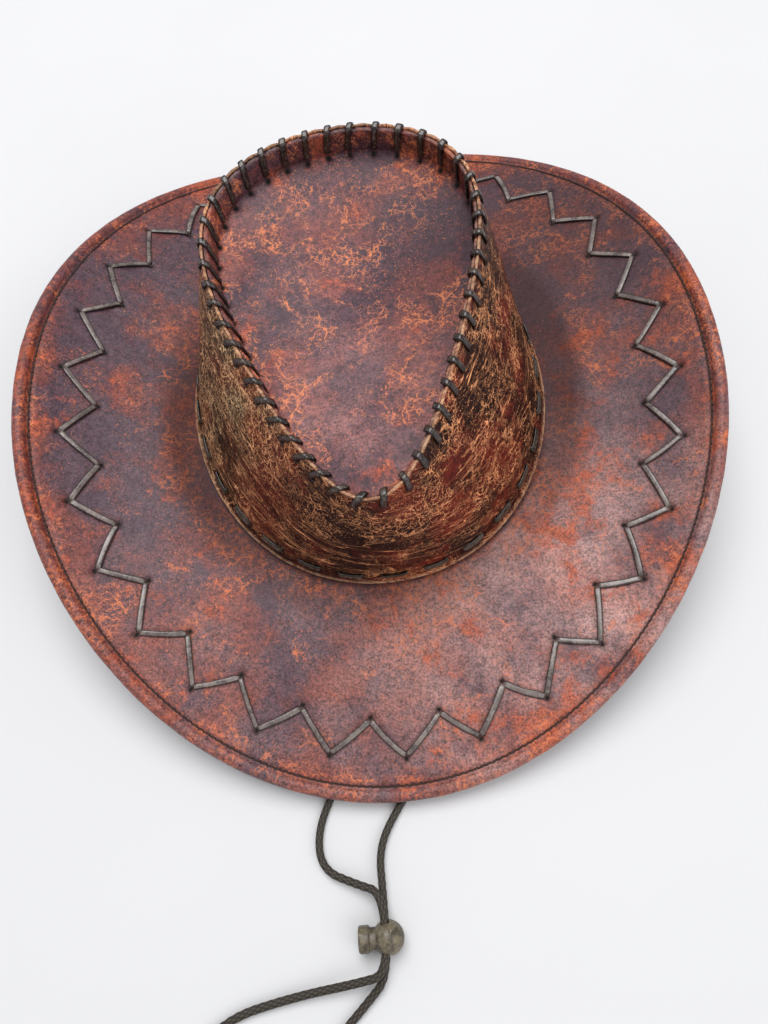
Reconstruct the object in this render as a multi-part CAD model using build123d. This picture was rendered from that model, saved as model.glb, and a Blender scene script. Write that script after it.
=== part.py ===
from build123d import *
import os
from functools import lru_cache
from math import copysign, cos, hypot, pi, radians, sin, tan

# A laced leather western hat with a sewn, wired brim edge, a dished teardrop crown and a chin cord.
# Millimetres. +Z up, the front of the hat faces -Y, and the origin is on the surface that the hat
# stands on, under the middle of the brim. The wearer's right is at -X.

# ---------------------------------------------------------------- driving dimensions: leather
LEATHER = 1.3               # upper brim leather and crown leather
UNDER_LEATHER = 1.1         # lining leather under the brim
LAYER_GAP = 0.3             # free space between two layers that lie on each other

# ---------------------------------------------------------------- driving dimensions: brim
BRIM_WIDTH = 337.0          # across the hat, over the edge roll
BRIM_LENGTH = 387.0         # front to back, over the edge roll
FRONT_SQUARENESS = 2.0      # power of the front outline, 2 is an ellipse
BACK_SQUARENESS = 2.35      # power of the back outline
WIDEST_BEHIND = 6.3         # the widest line lies this far behind the middle
SIDE_RISE = 58.0            # how much higher the edge is at the sides than at front and back
BRIM_CURL = 1.6             # power of the brim's rise, 1 is a straight cone
WIRE_RADIUS = 1.2           # shaping wire in the edge
SLEEVE_WALL = 0.35          # crimped tube that joins the wire's ends
SLEEVE_CLEARANCE = 0.05
SLEEVE_LENGTH = 24.0
WIRE_CLEARANCE = 0.25       # sleeve to leather, all round
WIRE_END_GAP = 1.0
GROOVE_LAND = 0.9           # flat strip between the roll and the sewn groove
GROOVE_DEPTH = 0.4          # how far the seam pulls the leather in
THREAD_RADIUS = 0.35

# ---------------------------------------------------------------- driving dimensions: crown
BASE_WIDTH = 174.2          # crown wall at the brim, outside
BASE_LENGTH = 201.4
BASE_SQUARENESS = 2.08
BASE_HEIGHT = 26.0          # mean height of the brim where it meets the crown
BASE_SIDE_LIFT = 8.3        # the opening is this much higher at the sides than front and back
CROWN_BACK_SHIFT = 5.0      # the crown stands this far behind the brim's middle
CROWN_TWIST = 3.3           # degrees, the soft crown sits turned on the brim
WALL_FOOT = 3.3             # raw lower edge of the wall above the brim
WALL_BULGE = 2.0
RIDGE_HALF_WIDTH = 54.1     # teardrop outline of the laced ridge
RIDGE_HALF_LENGTH = 91.4
RIDGE_TAPER = 0.565         # how much narrower the front is
RIDGE_FULLNESS = 0.204      # widens front and back alike
RIDGE_BACK_SHIFT = -2.4     # from the middle of the crown's base
RIDGE_LEAN = -4.9           # the crown leans to the wearer's right
RIDGE_FRONT_HEIGHT = 103.2
RIDGE_BACK_HEIGHT = 114.9
RIDGE_SAG = 4.6             # half-way between front and back
RIDGE_TILT = 7.6            # left ridge over the middle, right ridge under it
FLANGE_HEIGHT = 8.0         # top panel turned up along the ridge
FLANGE_TURN = 3.0           # size of the bend from flange to dish
DISH_DEPTH = 12.0           # middle of the top panel under the foot of the flange
DISH_BACK_SHIFT = 12.0      # deepest point from the ridge's middle
DISH_FLOOR = 0.92           # share of the way to the middle where the floor is level
COLLAR_HEIGHT = 14.0        # brim leather turned up inside the crown wall
BACK_SEAM_GAP = 0.4
SEAM_STAY_WIDTH = 16.0
SEAM_STAY = 1.0
SEAM_STITCHES = 13
SEAM_ROW_OFFSET = 4.0       # stitch rows each side of the seam
SEAM_STITCH_LENGTH = 3.4
SEAM_FOOT = 14.0            # lower end of the stay, over the wall's raw edge
SEAM_HEAD = 12.0            # upper end of the stay, under the ridge's top

# ---------------------------------------------------------------- driving dimensions: laces
LACE_THICKNESS = 0.9
LACE_WIDTH = 2.8
LACE_CLEARANCE = 0.45       # lace over leather, so that a straight strip clears the curve
HOLE_CLEARANCE = 0.15
ZIGZAG_COUNT = 29
ZIGZAG_OUTER_INSET = 19.4   # outer points from the brim's edge
ZIGZAG_INNER_INSET = 35.2
ZIGZAG_CROWDING = 9.0       # the points stand closer at the front by up to this much
ZIGZAG_FRONT = 271.0        # degrees, where the first outer point lies
ZIGZAG_END_GAP = 2.8        # each strip dives this far before the point
WHIP_COUNT = 45
WHIP_DEPTH = 6.5            # holes under the ridge's top
BASE_LACE_COUNT = 29
BASE_LACE_SHARE = 0.55      # share of the pitch that shows outside
BASE_LACE_HEIGHT = 5.5      # over the wall's raw edge

# ---------------------------------------------------------------- driving dimensions: sweatband
SWEATBAND_THICKNESS = 1.2
SWEATBAND_INSET = 4.8       # its outer face from the wall's outer face
SWEATBAND_HEIGHT = 34.0
SWEATBAND_DROP = 1.0        # lower edge under the brim's seam
SWEATBAND_HEM = 3.0         # seam thread above the lower edge

# ---------------------------------------------------------------- driving dimensions: chin cord
CORD_DIAMETER = 3.5
TAB_WIDTH = 9.0             # folded leather tab that holds each end of the cord
TAB_THICKNESS = 5.6
TAB_HEIGHT = 12.0
TAB_DROP = 4.0              # lower end of the tab under the sweatband's lower edge
LOCK_X = -10.0              # middle of the lock's ball
LOCK_Y = -245.5
LOCK_RADIUS = 6.8
LOCK_STRAND_SHIFT = -1.0    # cord channel from the ball's middle, towards the button
STRAND_SPACING = 3.8        # the two strands lie over each other in the lock
CHANNEL_CLEARANCE = 0.1
STEM_RADIUS = 4.4
STEM_CLEARANCE = 0.08
STEM_WALL = 1.2             # between the cord channel and the spring
BUTTON_RADIUS = 5.3
BUTTON_LENGTH = 4.8
BUTTON_STANDOFF = 7.6       # button's inner face from the ball's middle
BUTTON_TRAVEL = 1.8
SPRING_WIRE = 0.45
SPRING_RADIUS = 2.6         # to the middle of the wire
SPRING_COILS = 3
SPRING_CLEARANCE = 0.1
SPRING_SPARE = 0.2          # left between the coils with the button pressed in

# ---------------------------------------------------------------- sizes that follow
ROLL_BORE = WIRE_RADIUS + SLEEVE_WALL + WIRE_CLEARANCE
WALL_PLY = 2 * LEATHER + LAYER_GAP                              # wall with collar, or with flange
PUNCH_REACH = 4 * WALL_PLY
ZIGZAG_FINE = 720
ROLL_RADIUS = ROLL_BORE + LEATHER
FRONT_EDGE_HEIGHT = CORD_DIAMETER + LAYER_GAP + ROLL_RADIUS     # the front lies on the cord
BACK_EDGE_HEIGHT = ROLL_RADIUS                                  # the back lies on the surface
BRIM_PLY = LEATHER + LAYER_GAP + UNDER_LEATHER
SECOND_SKIN = LEATHER + LAYER_GAP                               # outer face of the second layer
EDGE_TO_GROOVE = 2 * ROLL_RADIUS + GROOVE_LAND
LOOP_POINTS = 36
FULL_TURN = 2 * pi
UP = Vector(0, 0, 1)


def power(value, exponent):
    return copysign(abs(value) ** exponent, value)


def polar(angle, half_width, half_length, squareness):
    """Point of a superellipse in the direction of an angle."""
    reach = (abs(cos(angle) / half_width) ** squareness
             + abs(sin(angle) / half_length) ** squareness) ** (-1 / squareness)
    return reach * cos(angle), reach * sin(angle)


def turned(x, y):
    """A crown point turned by the crown's twist and moved to its place on the brim."""
    twist = radians(CROWN_TWIST)
    return (x * cos(twist) - y * sin(twist),
            x * sin(twist) + y * cos(twist) + CROWN_BACK_SHIFT)


def mix(start, end, share):
    return start + (end - start) * share


# ---------------------------------------------------------------- the hat's surfaces
@lru_cache(maxsize=None)
def brim_edge(angle):
    """Middle of the wire in the brim's edge."""
    back = 0.5 + 0.5 * sin(angle)
    squareness = mix(FRONT_SQUARENESS, BACK_SQUARENESS, back)
    x, y = polar(angle, BRIM_WIDTH / 2 - ROLL_RADIUS, BRIM_LENGTH / 2 - ROLL_RADIUS, squareness)
    side = cos(angle) ** 2
    level = mix(FRONT_EDGE_HEIGHT, BACK_EDGE_HEIGHT, back)
    return Vector(x, y + WIDEST_BEHIND * side, level * (1 - side) + (SIDE_RISE + ROLL_RADIUS) * side)


@lru_cache(maxsize=None)
def crown_foot(angle):
    """Where the outside of the crown wall would meet the brim's upper face."""
    x, y = turned(*polar(angle, BASE_WIDTH / 2, BASE_LENGTH / 2, BASE_SQUARENESS))
    return Vector(x, y, BASE_HEIGHT + BASE_SIDE_LIFT * (cos(angle) ** 2 - 0.5))


@lru_cache(maxsize=None)
def ridge(angle):
    """Top of the crown's laced ridge, outside."""
    back = 0.5 + 0.5 * sin(angle)
    half_width = RIDGE_HALF_WIDTH * (1 + RIDGE_TAPER * sin(angle) + RIDGE_FULLNESS * sin(angle) ** 2)
    x, y = turned(half_width * cos(angle) + RIDGE_LEAN,
                  RIDGE_HALF_LENGTH * sin(angle) + RIDGE_BACK_SHIFT)
    level = mix(RIDGE_FRONT_HEIGHT, RIDGE_BACK_HEIGHT, back) - 4 * RIDGE_SAG * back * (1 - back)
    return Vector(x, y, level + RIDGE_TILT * cos(angle))


def wall_skin(angle, share):
    """Outer face of the crown wall: share 0 is its raw lower edge, 1 the ridge."""
    foot = crown_foot(angle) + UP * WALL_FOOT
    outward = Vector(foot.X, foot.Y - CROWN_BACK_SHIFT, 0).normalized()
    return mix(foot, ridge(angle), share) + outward * (4 * WALL_BULGE * share * (1 - share))


STEP = 1e-4


def lifted(skin, angle, share, lift):
    """Point of a skin moved along its outer normal."""
    around = skin(angle + STEP, share) - skin(angle - STEP, share)
    across = skin(angle, share + STEP) - skin(angle, share - STEP)
    return skin(angle, share) + around.cross(across).normalized() * lift


@lru_cache(maxsize=None)
def wall(angle, share, lift=0.0):
    return lifted(wall_skin, angle, share, lift)


def wall_share(height):
    """Share of the wall's height that lies at a height over its raw lower edge."""
    mean_ridge = (RIDGE_FRONT_HEIGHT + RIDGE_BACK_HEIGHT) / 2
    return height / (mean_ridge - BASE_HEIGHT - WALL_FOOT)


@lru_cache(maxsize=None)
def fillet_corner(angle):
    """Corner of the bend between collar and brim, straight down the wall."""
    start = wall(angle, 0, -SECOND_SKIN)
    down = wall(angle, -STEP, -SECOND_SKIN) - start
    return start + down * (WALL_FOOT / -down.Z)


@lru_cache(maxsize=None)
def brim_start(angle):
    """Where the bend ends and the brim begins."""
    corner = fillet_corner(angle)
    away = Vector(corner.X, corner.Y - CROWN_BACK_SHIFT, 0).normalized()
    return corner + away * WALL_FOOT


@lru_cache(maxsize=None)
def roll_frame(angle):
    """Middle of the roll, the brim's outward slope there and its upward normal."""
    middle = brim_edge(angle)
    start = brim_start(angle)
    along = brim_edge(angle + STEP) - brim_edge(angle - STEP)
    outward = along.cross(UP).normalized()
    run = hypot(middle.X - start.X, middle.Y - start.Y)
    outward = (outward + UP * (BRIM_CURL * (middle.Z - start.Z) / run)).normalized()
    return middle, outward, outward.cross(along).normalized()


@lru_cache(maxsize=None)
def groove(angle):
    """Bottom of the sewn groove in the brim's upper face."""
    middle, outward, normal = roll_frame(angle)
    return middle - outward * (ROLL_RADIUS + GROOVE_LAND) + normal * (BRIM_PLY / 2 - GROOVE_DEPTH)


def brim_skin(angle, share):
    """Upper face of the brim: share 0 is the sewn groove, 1 the bend at the crown."""
    outer, inner = groove(angle), brim_start(angle)
    flat = mix(outer, inner, share)
    return Vector(flat.X, flat.Y, mix(inner.Z, outer.Z, power(1 - share, BRIM_CURL)))


def brim(angle, share, lift=0.0):
    return lifted(brim_skin, angle, share, lift)


def bend_skin(angle, share):
    """Bend from the brim, share 0, up to the collar inside the wall, share 1."""
    first, corner, last = brim_start(angle), fillet_corner(angle), wall(angle, 0, -SECOND_SKIN)
    return mix(mix(first, corner, share), mix(corner, last, share), share)


def inset_share(angle, inset):
    """Share of the brim at a distance in from its outer edge."""
    return (inset - EDGE_TO_GROOVE) / (groove(angle) - brim_start(angle)).length


@lru_cache(maxsize=None)
def dish_middle():
    x, y = turned(RIDGE_LEAN, RIDGE_BACK_SHIFT + DISH_BACK_SHIFT)
    mean_ridge = (RIDGE_FRONT_HEIGHT + RIDGE_BACK_HEIGHT) / 2
    return Vector(x, y, mean_ridge - FLANGE_HEIGHT - DISH_DEPTH)


def flange_skin(angle, share):
    """Inner face of the top panel's turned-up flange: share 0 the ridge's top, 1 its foot."""
    return wall(angle, 1 - share * wall_share(FLANGE_HEIGHT), -SECOND_SKIN - LEATHER)


@lru_cache(maxsize=None)
def dish_corner(angle):
    foot = flange_skin(angle, 1)
    down = (foot - flange_skin(angle, 1 - STEP)).normalized()
    return foot + down * FLANGE_TURN


@lru_cache(maxsize=None)
def dish_start(angle):
    corner, middle = dish_corner(angle), dish_middle()
    inward = Vector(middle.X - corner.X, middle.Y - corner.Y, 0)
    slope = 2 * (middle.Z - corner.Z) / inward.length
    return corner + (inward.normalized() + UP * slope) * FLANGE_TURN


def dish_skin(angle, share):
    """Upper face of the dished top: share 0 beside the flange, 1 the middle."""
    start, middle = dish_start(angle), dish_middle()
    flat = mix(start, middle, share)
    return Vector(flat.X, flat.Y, mix(start.Z, middle.Z, 1 - (1 - share) ** 2))


def turn_skin(angle, share):
    """Bend from the flange's foot, share 0, to the dish, share 1."""
    first, corner, last = flange_skin(angle, 1), dish_corner(angle), dish_start(angle)
    return mix(mix(first, corner, share), mix(corner, last, share), share)


# ---------------------------------------------------------------- loops, rings and bars
def closed_loop(point_at, count=LOOP_POINTS):
    """A smooth closed curve through the points of a function of the angle."""
    points = [point_at(FULL_TURN * k / count) for k in range(count)]
    steps = [k / count for k in range(count + 1)]
    return Wire([Edge.make_spline(points, periodic=True, parameters=steps)])


def skin_loops(skin, shares, lift):
    return [closed_loop(lambda angle, s=s: lifted(skin, angle, s, lift)) for s in shares]


def ring_solid(strips):
    """Closed ring whose faces are lofted strips, each ending on the loop where the next begins."""
    faces = []
    for strip in strips:
        faces += Shell.make_loft(strip, ruled=len(strip) == 2).faces()
    return upright(Solid(Shell(faces)))


def upright(solid):
    """The same solid with its faces turned outward."""
    return solid if solid.volume > 0 else Solid(solid.wrapped.Reversed())


def roll_loop(radius, turn):
    """Loop on a tube round the edge wire; turn 0 is outward, 90 degrees is up."""
    def point(angle):
        middle, outward, normal = roll_frame(angle)
        return middle + (outward * cos(radians(turn)) + normal * sin(radians(turn))) * radius
    return closed_loop(point)


def wire_tube(radius):
    """Closed tube along the brim's edge."""
    loops = [roll_loop(radius, turn) for turn in range(0, 360, 45)]
    return ring_solid([loops[0:5], loops[4:8] + loops[0:1]])


def seam_line(angle, side):
    """Middle of the thread in the sewn groove, side 1 above the brim and -1 under it."""
    middle, outward, normal = roll_frame(angle)
    lift = BRIM_PLY / 2 + LAYER_GAP + THREAD_RADIUS
    return middle - outward * (ROLL_RADIUS + GROOVE_LAND) + normal * (side * lift - GROOVE_DEPTH)


def edge_block(width):
    """Block across the edge roll at the back of the brim."""
    middle = brim_edge(pi / 2)
    return Pos(middle.X, middle.Y, middle.Z) * Box(width, 8 * ROLL_RADIUS, 4 * ROLL_RADIUS)


def thread_ring(centre_at):
    """Closed thread with a square section along a loop."""
    half = THREAD_RADIUS

    def loop(side, rise):
        def point(angle):
            middle = centre_at(angle)
            along = centre_at(angle + STEP) - centre_at(angle - STEP)
            return middle + along.cross(UP).normalized() * (side * half) + UP * (rise * half)
        return closed_loop(point)

    corners = [loop(-1, -1), loop(1, -1), loop(1, 1), loop(-1, 1)]
    return ring_solid([[corners[k], corners[(k + 1) % 4]] for k in range(4)])


def evenly(curve, count, start=0.0, samples=720):
    """Angles of points spaced evenly along a closed curve."""
    points = [curve(FULL_TURN * k / samples) for k in range(samples + 1)]
    reach = [0.0]
    for first, second in zip(points, points[1:]):
        reach.append(reach[-1] + (second - first).length)
    angles = []
    for k in range(count):
        goal = ((start + k) / count) % 1 * reach[-1]
        index = max(i for i in range(samples) if reach[i] <= goal)
        part = (goal - reach[index]) / (reach[index + 1] - reach[index])
        angles.append(FULL_TURN * (index + part) / samples)
    return angles


def save(node, shape):
    """Write one node; a list becomes a group of separate solids."""
    if isinstance(shape, list):
        shape = Compound(shape)
    export_step(shape, f"parts/{node}.step")


# ---------------------------------------------------------------- brim leathers
BRIM_SHARES = [1, 0.8, 0.6, 0.4, 0.2, 0]
ROLL_TURNS = [140, 100, 60, 20, -20, -60, -100, -140, -152]


def make_brim_top():
    def collar(lift):
        return [closed_loop(lambda a: wall(a, wall_share(COLLAR_HEIGHT), lift - SECOND_SKIN)),
                closed_loop(lambda a: wall(a, wall_share(COLLAR_HEIGHT / 2), lift - SECOND_SKIN)),
                *skin_loops(bend_skin, [1 - STEP, 0.5, STEP], lift)]

    def face_strips(lift):
        bend = collar(lift)
        flat = skin_loops(brim_skin, BRIM_SHARES[1:], lift)
        roll = [roll_loop(ROLL_RADIUS + lift, turn) for turn in ROLL_TURNS]
        return [bend, [bend[-1]] + flat, [flat[-1]] + roll]

    upper, lower = face_strips(0), face_strips(-LEATHER)
    rim = [[upper[0][0], lower[0][0]], [upper[-1][-1], lower[-1][-1]]]
    return ring_solid(upper + lower + rim)


def make_brim_under():
    def strips(lift):
        bend = skin_loops(bend_skin, [0.4, 0.2, STEP], lift)
        return [bend, [bend[-1]] + skin_loops(brim_skin, BRIM_SHARES[1:], lift)]

    upper, lower = strips(-SECOND_SKIN), strips(-SECOND_SKIN - UNDER_LEATHER)
    rim = [[upper[0][0], lower[0][0]], [upper[-1][-1], lower[-1][-1]]]
    return ring_solid(upper + lower + rim)


# ---------------------------------------------------------------- crown leathers
WALL_SHARES = [0, 0.25, 0.5, 0.75, 1]


def wall_ring(low, high, outer, inner):
    """Ring along the crown wall between two shares of its height and two lifts."""
    shares = [mix(low, high, s) for s in WALL_SHARES]
    skins = [[closed_loop(lambda a, s=s: wall(a, s, lift)) for s in shares] for lift in (outer, inner)]
    rim = [[skins[0][0], skins[1][0]], [skins[0][-1], skins[1][-1]]]
    return ring_solid(skins + rim)


def seam_block(width, depth=80.0, height=300.0):
    """Block along the crown's back seam, for cutting the wall and its stay."""
    middle = mix(crown_foot(pi / 2), ridge(pi / 2), 0.5)
    along = wall(pi / 2 + STEP, 0.5) - wall(pi / 2 - STEP, 0.5)
    place = Plane(origin=middle, x_dir=along.normalized(), z_dir=(ridge(pi / 2) - crown_foot(pi / 2)))
    return place * Box(width, depth, height)


def make_top_panel():
    def strips(lift):
        flange = skin_loops(flange_skin, [0, 0.5, 1 - STEP], lift)
        turn = skin_loops(turn_skin, [0.5, 1 - STEP], lift)
        dish = skin_loops(dish_skin, [0.2, 0.45, 0.7], lift)
        level = dish_middle().Z + lift

        def floor(angle):
            edge = dish_skin(angle, DISH_FLOOR)
            return Vector(edge.X, edge.Y, level)
        return [flange, [flange[-1]] + turn, [turn[-1]] + dish + [closed_loop(floor)]]

    upper, lower = strips(0), strips(-LEATHER)
    faces = [Face(upper[-1][-1]), Face(lower[-1][-1])]
    for strip in upper + lower + [[upper[0][0], lower[0][0]]]:
        faces += Shell.make_loft(strip, ruled=len(strip) == 2).faces()
    return upright(Solid(Shell(faces)))


# ---------------------------------------------------------------- lace and thread stitches
def stitch(middle, along, normal, length, height, width, thickness):
    """Closed flat loop through two holes: clear inside by length along and height across."""
    place = Plane(origin=middle, x_dir=along, z_dir=along.cross(normal))
    face = Rectangle(length + 2 * thickness, height + 2 * thickness) - Rectangle(length, height)
    return extrude(place * face, width / 2, both=True)


def punch(point, normal, width, thickness):
    """Cutter for the round hole that one side of a stitch goes through."""
    radius = hypot(width, thickness) / 2 + HOLE_CLEARANCE
    return Plane(origin=point, z_dir=normal) * Cylinder(radius, PUNCH_REACH)


def frame_of(skin, angle, share):
    """Point of a skin, its outward normal and the direction of growing angle."""
    point = skin(angle, share)
    around = (skin(angle + STEP, share) - skin(angle - STEP, share)).normalized()
    return point, lifted(skin, angle, share, 1) - point, around


def zigzag_angles():
    """Angles of the zigzag's outer points, closer together at the front."""
    def line(angle):
        return brim(angle, inset_share(angle, ZIGZAG_OUTER_INSET))

    fine = evenly(line, ZIGZAG_FINE)
    total = sum((line(b) - line(a)).length for a, b in zip(fine, fine[1:] + fine[:1]))
    angles = []
    for k in range(2 * ZIGZAG_COUNT):
        turn = k / (2 * ZIGZAG_COUNT)
        moved = turn - ZIGZAG_CROWDING / total * sin(FULL_TURN * turn)
        angles.append(fine_angle(fine, moved))
    return angles


def fine_angle(fine, turn):
    """Angle at a share of the closed zigzag line, counted from its front point."""
    start = min(range(ZIGZAG_FINE), key=lambda k: abs(fine[k] - radians(ZIGZAG_FRONT)))
    place = (start + turn * ZIGZAG_FINE) % ZIGZAG_FINE
    first = int(place)
    low, high = fine[first], fine[(first + 1) % ZIGZAG_FINE]
    if high < low:
        high += FULL_TURN
    return mix(low, high, place - first)


def zigzag_point(index, angle):
    inset = ZIGZAG_INNER_INSET if index % 2 else ZIGZAG_OUTER_INSET
    return angle, inset_share(angle, inset)


def make_zigzag():
    """Stitches and holes of the brim's zigzag lace."""
    points = [zigzag_point(k, angle) for k, angle in enumerate(zigzag_angles())]
    stitches, holes = [], []
    for first, second in zip(points, points[1:] + points[:1]):
        start, end = brim(*first, -BRIM_PLY / 2), brim(*second, -BRIM_PLY / 2)
        along = (end - start).normalized()
        start, end = start + along * ZIGZAG_END_GAP, end - along * ZIGZAG_END_GAP
        normal = (brim(*first, 1) - brim(*first) + brim(*second, 1) - brim(*second)).normalized()
        normal = (normal - along * normal.dot(along)).normalized()
        stitches.append(stitch((start + end) * 0.5, along, normal, (end - start).length - LACE_THICKNESS,
                               BRIM_PLY + 2 * LACE_CLEARANCE, LACE_WIDTH, LACE_THICKNESS))
        holes += [punch(point, normal, LACE_WIDTH, LACE_THICKNESS) for point in (start, end)]
    return stitches, holes


def make_whip():
    """Stitches over the crown's ridge, and their holes."""
    stitches, holes = [], []
    for angle in evenly(ridge, WHIP_COUNT):
        top, normal, around = frame_of(wall_skin, angle, 1)
        up = around.cross(normal) * -1
        length = WHIP_DEPTH + LACE_CLEARANCE
        middle = top - normal * (WALL_PLY / 2) + up * (LACE_CLEARANCE - length / 2)
        stitches.append(stitch(middle, up, normal, length, WALL_PLY + 2 * LACE_CLEARANCE,
                               LACE_WIDTH, LACE_THICKNESS))
        holes.append(punch(middle - up * ((length + LACE_THICKNESS) / 2), normal,
                           LACE_WIDTH, LACE_THICKNESS))
    return stitches, holes


def make_base_lace():
    """Running stitches that hold the crown wall on the brim's collar, and their holes."""
    stitches, holes = [], []
    share = wall_share(BASE_LACE_HEIGHT)
    angles = evenly(lambda angle: wall(angle, share), BASE_LACE_COUNT, start=0.5)
    for k, angle in enumerate(angles):
        following = angles[(k + 1) % BASE_LACE_COUNT] + (FULL_TURN if k == BASE_LACE_COUNT - 1 else 0)
        ends = [wall(mix(angle, following, part), share, -WALL_PLY / 2) for part in (0, BASE_LACE_SHARE)]
        along = (ends[1] - ends[0]).normalized()
        normal = frame_of(wall_skin, mix(angle, following, BASE_LACE_SHARE / 2), share)[1]
        normal = (normal - along * normal.dot(along)).normalized()
        length = (ends[1] - ends[0]).length - LACE_THICKNESS
        stitches.append(stitch((ends[0] + ends[1]) * 0.5, along, normal, length,
                               WALL_PLY + 2 * LACE_CLEARANCE, LACE_WIDTH, LACE_THICKNESS))
        holes += [punch(end, normal, LACE_WIDTH, LACE_THICKNESS) for end in ends]
    return stitches, holes


def make_seam_stitches():
    """Two rows of thread stitches through the wall and the stay behind its back seam."""
    stitches, holes = [], []
    ply = LEATHER + LAYER_GAP + SEAM_STAY
    thread = 2 * THREAD_RADIUS
    pitch = (1 - wall_share(SEAM_FOOT + SEAM_HEAD)) / SEAM_STITCHES
    for row in (-1, 1):
        for k in range(SEAM_STITCHES):
            share = wall_share(SEAM_FOOT) + pitch * (k + 0.5)
            point, normal, around = frame_of(wall_skin, pi / 2, share)
            up = around.cross(normal) * -1
            middle = point + around * (row * SEAM_ROW_OFFSET) - normal * (ply / 2)
            length = SEAM_STITCH_LENGTH - thread
            stitches.append(stitch(middle, up, normal, length, ply + 2 * LAYER_GAP, thread, thread))
            for end in (-1, 1):
                holes.append(punch(middle + up * (end * SEAM_STITCH_LENGTH / 2), normal, thread, thread))
    return stitches, holes


# ---------------------------------------------------------------- chin cord and its lock
def tab_place(side):
    """Plane of a cord tab: Z up along the wall, X into the hat; side 0 is +X, 1 is -X."""
    angle = pi * side
    share = wall_share(TAB_HEIGHT / 2 - WALL_FOOT - SWEATBAND_DROP - TAB_DROP)
    lift = SWEATBAND_INSET + SWEATBAND_THICKNESS + LAYER_GAP + TAB_THICKNESS / 2
    point, normal, around = frame_of(wall_skin, angle, share)
    return Plane(origin=point - normal * lift, x_dir=normal * -1, z_dir=around.cross(normal) * -1)


def make_tab(side):
    """Folded leather tab with rounded corners."""
    block = Box(TAB_THICKNESS, TAB_WIDTH, TAB_HEIGHT)
    return tab_place(side) * fillet(block.edges().filter_by(Axis.X), TAB_THICKNESS / 4)


def tab_exit(side):
    """Where the cord leaves a tab, and its direction there."""
    place = tab_place(side)
    return place.origin - place.z_dir * (TAB_HEIGHT / 2), place.z_dir * -1


STRAND_X = LOCK_X + LOCK_STRAND_SHIFT
UPPER_STRAND = LOCK_RADIUS + STRAND_SPACING / 2
LOWER_STRAND = LOCK_RADIUS - STRAND_SPACING / 2
FLOOR_STRAND = CORD_DIAMETER / 2
CORD_EXIT_RUN = 14.0
ARC_SHARE = 0.45            # of the shorter run beside a corner

# The cord's corners, chosen by hand from where it lies: from the left tab along the surface and
# under the front of the brim, through the lock, round the closing loop and back the same way.
CORD_CORNERS = [
    (82.0, -13.0, 3.6), (84.0, -38.0, FLOOR_STRAND), (77.0, -74.0, FLOOR_STRAND),
    (60.0, -112.0, FLOOR_STRAND), (36.0, -148.0, FLOOR_STRAND), (13.0, -178.0, FLOOR_STRAND),
    (-4.0, -198.0, 1.9), (STRAND_X - 0.6, -212.0, 2.9), (STRAND_X, -229.0, LOWER_STRAND),
    (STRAND_X, -259.5, LOWER_STRAND), (-20.5, -269.0, 2.2), (-34.0, -281.0, FLOOR_STRAND),
    (-46.0, -299.0, FLOOR_STRAND), (-66.0, -317.0, FLOOR_STRAND), (-91.0, -313.0, FLOOR_STRAND),
    (-99.0, -291.0, FLOOR_STRAND), (-81.0, -271.0, 2.0), (-50.0, -264.5, 2.9),
    (-23.0, -261.0, 6.6), (STRAND_X, -258.5, UPPER_STRAND), (STRAND_X, -228.5, UPPER_STRAND),
    (-21.5, -225.0, 5.4), (-37.5, -218.0, 2.8), (-38.0, -200.0, FLOOR_STRAND),
    (-26.0, -180.0, FLOOR_STRAND), (-35.0, -150.0, FLOOR_STRAND), (-58.0, -112.0, FLOOR_STRAND),
    (-76.0, -74.0, FLOOR_STRAND), (-84.0, -38.0, FLOOR_STRAND), (-83.0, -13.0, 3.6),
]


def cord_points():
    left, left_way = tab_exit(0)
    right, right_way = tab_exit(1)
    return [left, left + left_way * CORD_EXIT_RUN, *[Vector(*corner) for corner in CORD_CORNERS],
            right + right_way * CORD_EXIT_RUN, right]


def corner_radius(before, corner, after):
    """Arc as large as its two runs allow."""
    turn = radians((corner - before).get_angle(after - corner))
    return ARC_SHARE * min((corner - before).length, (after - corner).length) / tan(turn / 2)


def make_cord():
    points = cord_points()
    radii = [corner_radius(*points[k - 1:k + 2]) for k in range(1, len(points) - 1)]
    path = FilletPolyline(*points, radius=radii)
    section = Plane(origin=points[0], z_dir=points[1] - points[0]) * Circle(CORD_DIAMETER / 2)
    tube = sweep(section, path=path)
    area = pi * CORD_DIAMETER ** 2 / 4
    print("cord length", round(path.length, 1), "tightest radius", round(min(radii), 1),
          "volume over section x length", round(tube.volume / (area * path.length), 4))
    print("cord radii", [round(radius, 1) for radius in radii])
    return tube


def lock_place():
    """Plane at the middle of the ball, Z along the button's way in."""
    return Plane(origin=(LOCK_X, LOCK_Y, LOCK_RADIUS), x_dir=(0, 1, 0), z_dir=(1, 0, 0))


def between(low, high, radius):
    """Cylinder along the button's way, from one place to another."""
    return Pos(0, 0, (low + high) / 2) * Cylinder(radius, high - low)


def channel(low, high, length):
    """Passage for the two strands, one over the other."""
    tall = STRAND_SPACING + CORD_DIAMETER + 2 * CHANNEL_CLEARANCE
    return Pos(0, 0, (low + high) / 2) * Box(length, tall, high - low)


CHANNEL_LOW = LOCK_STRAND_SHIFT - CORD_DIAMETER / 2 - CHANNEL_CLEARANCE
CHANNEL_HIGH = LOCK_STRAND_SHIFT + CORD_DIAMETER / 2 + CHANNEL_CLEARANCE
STEM_END = CHANNEL_HIGH + STEM_WALL
SPRING_ROOM = SPRING_COILS * SPRING_WIRE + BUTTON_TRAVEL + SPRING_SPARE
SPRING_SEAT = STEM_END + SPRING_ROOM
BORE_END = STEM_END + BUTTON_TRAVEL + LAYER_GAP


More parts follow.
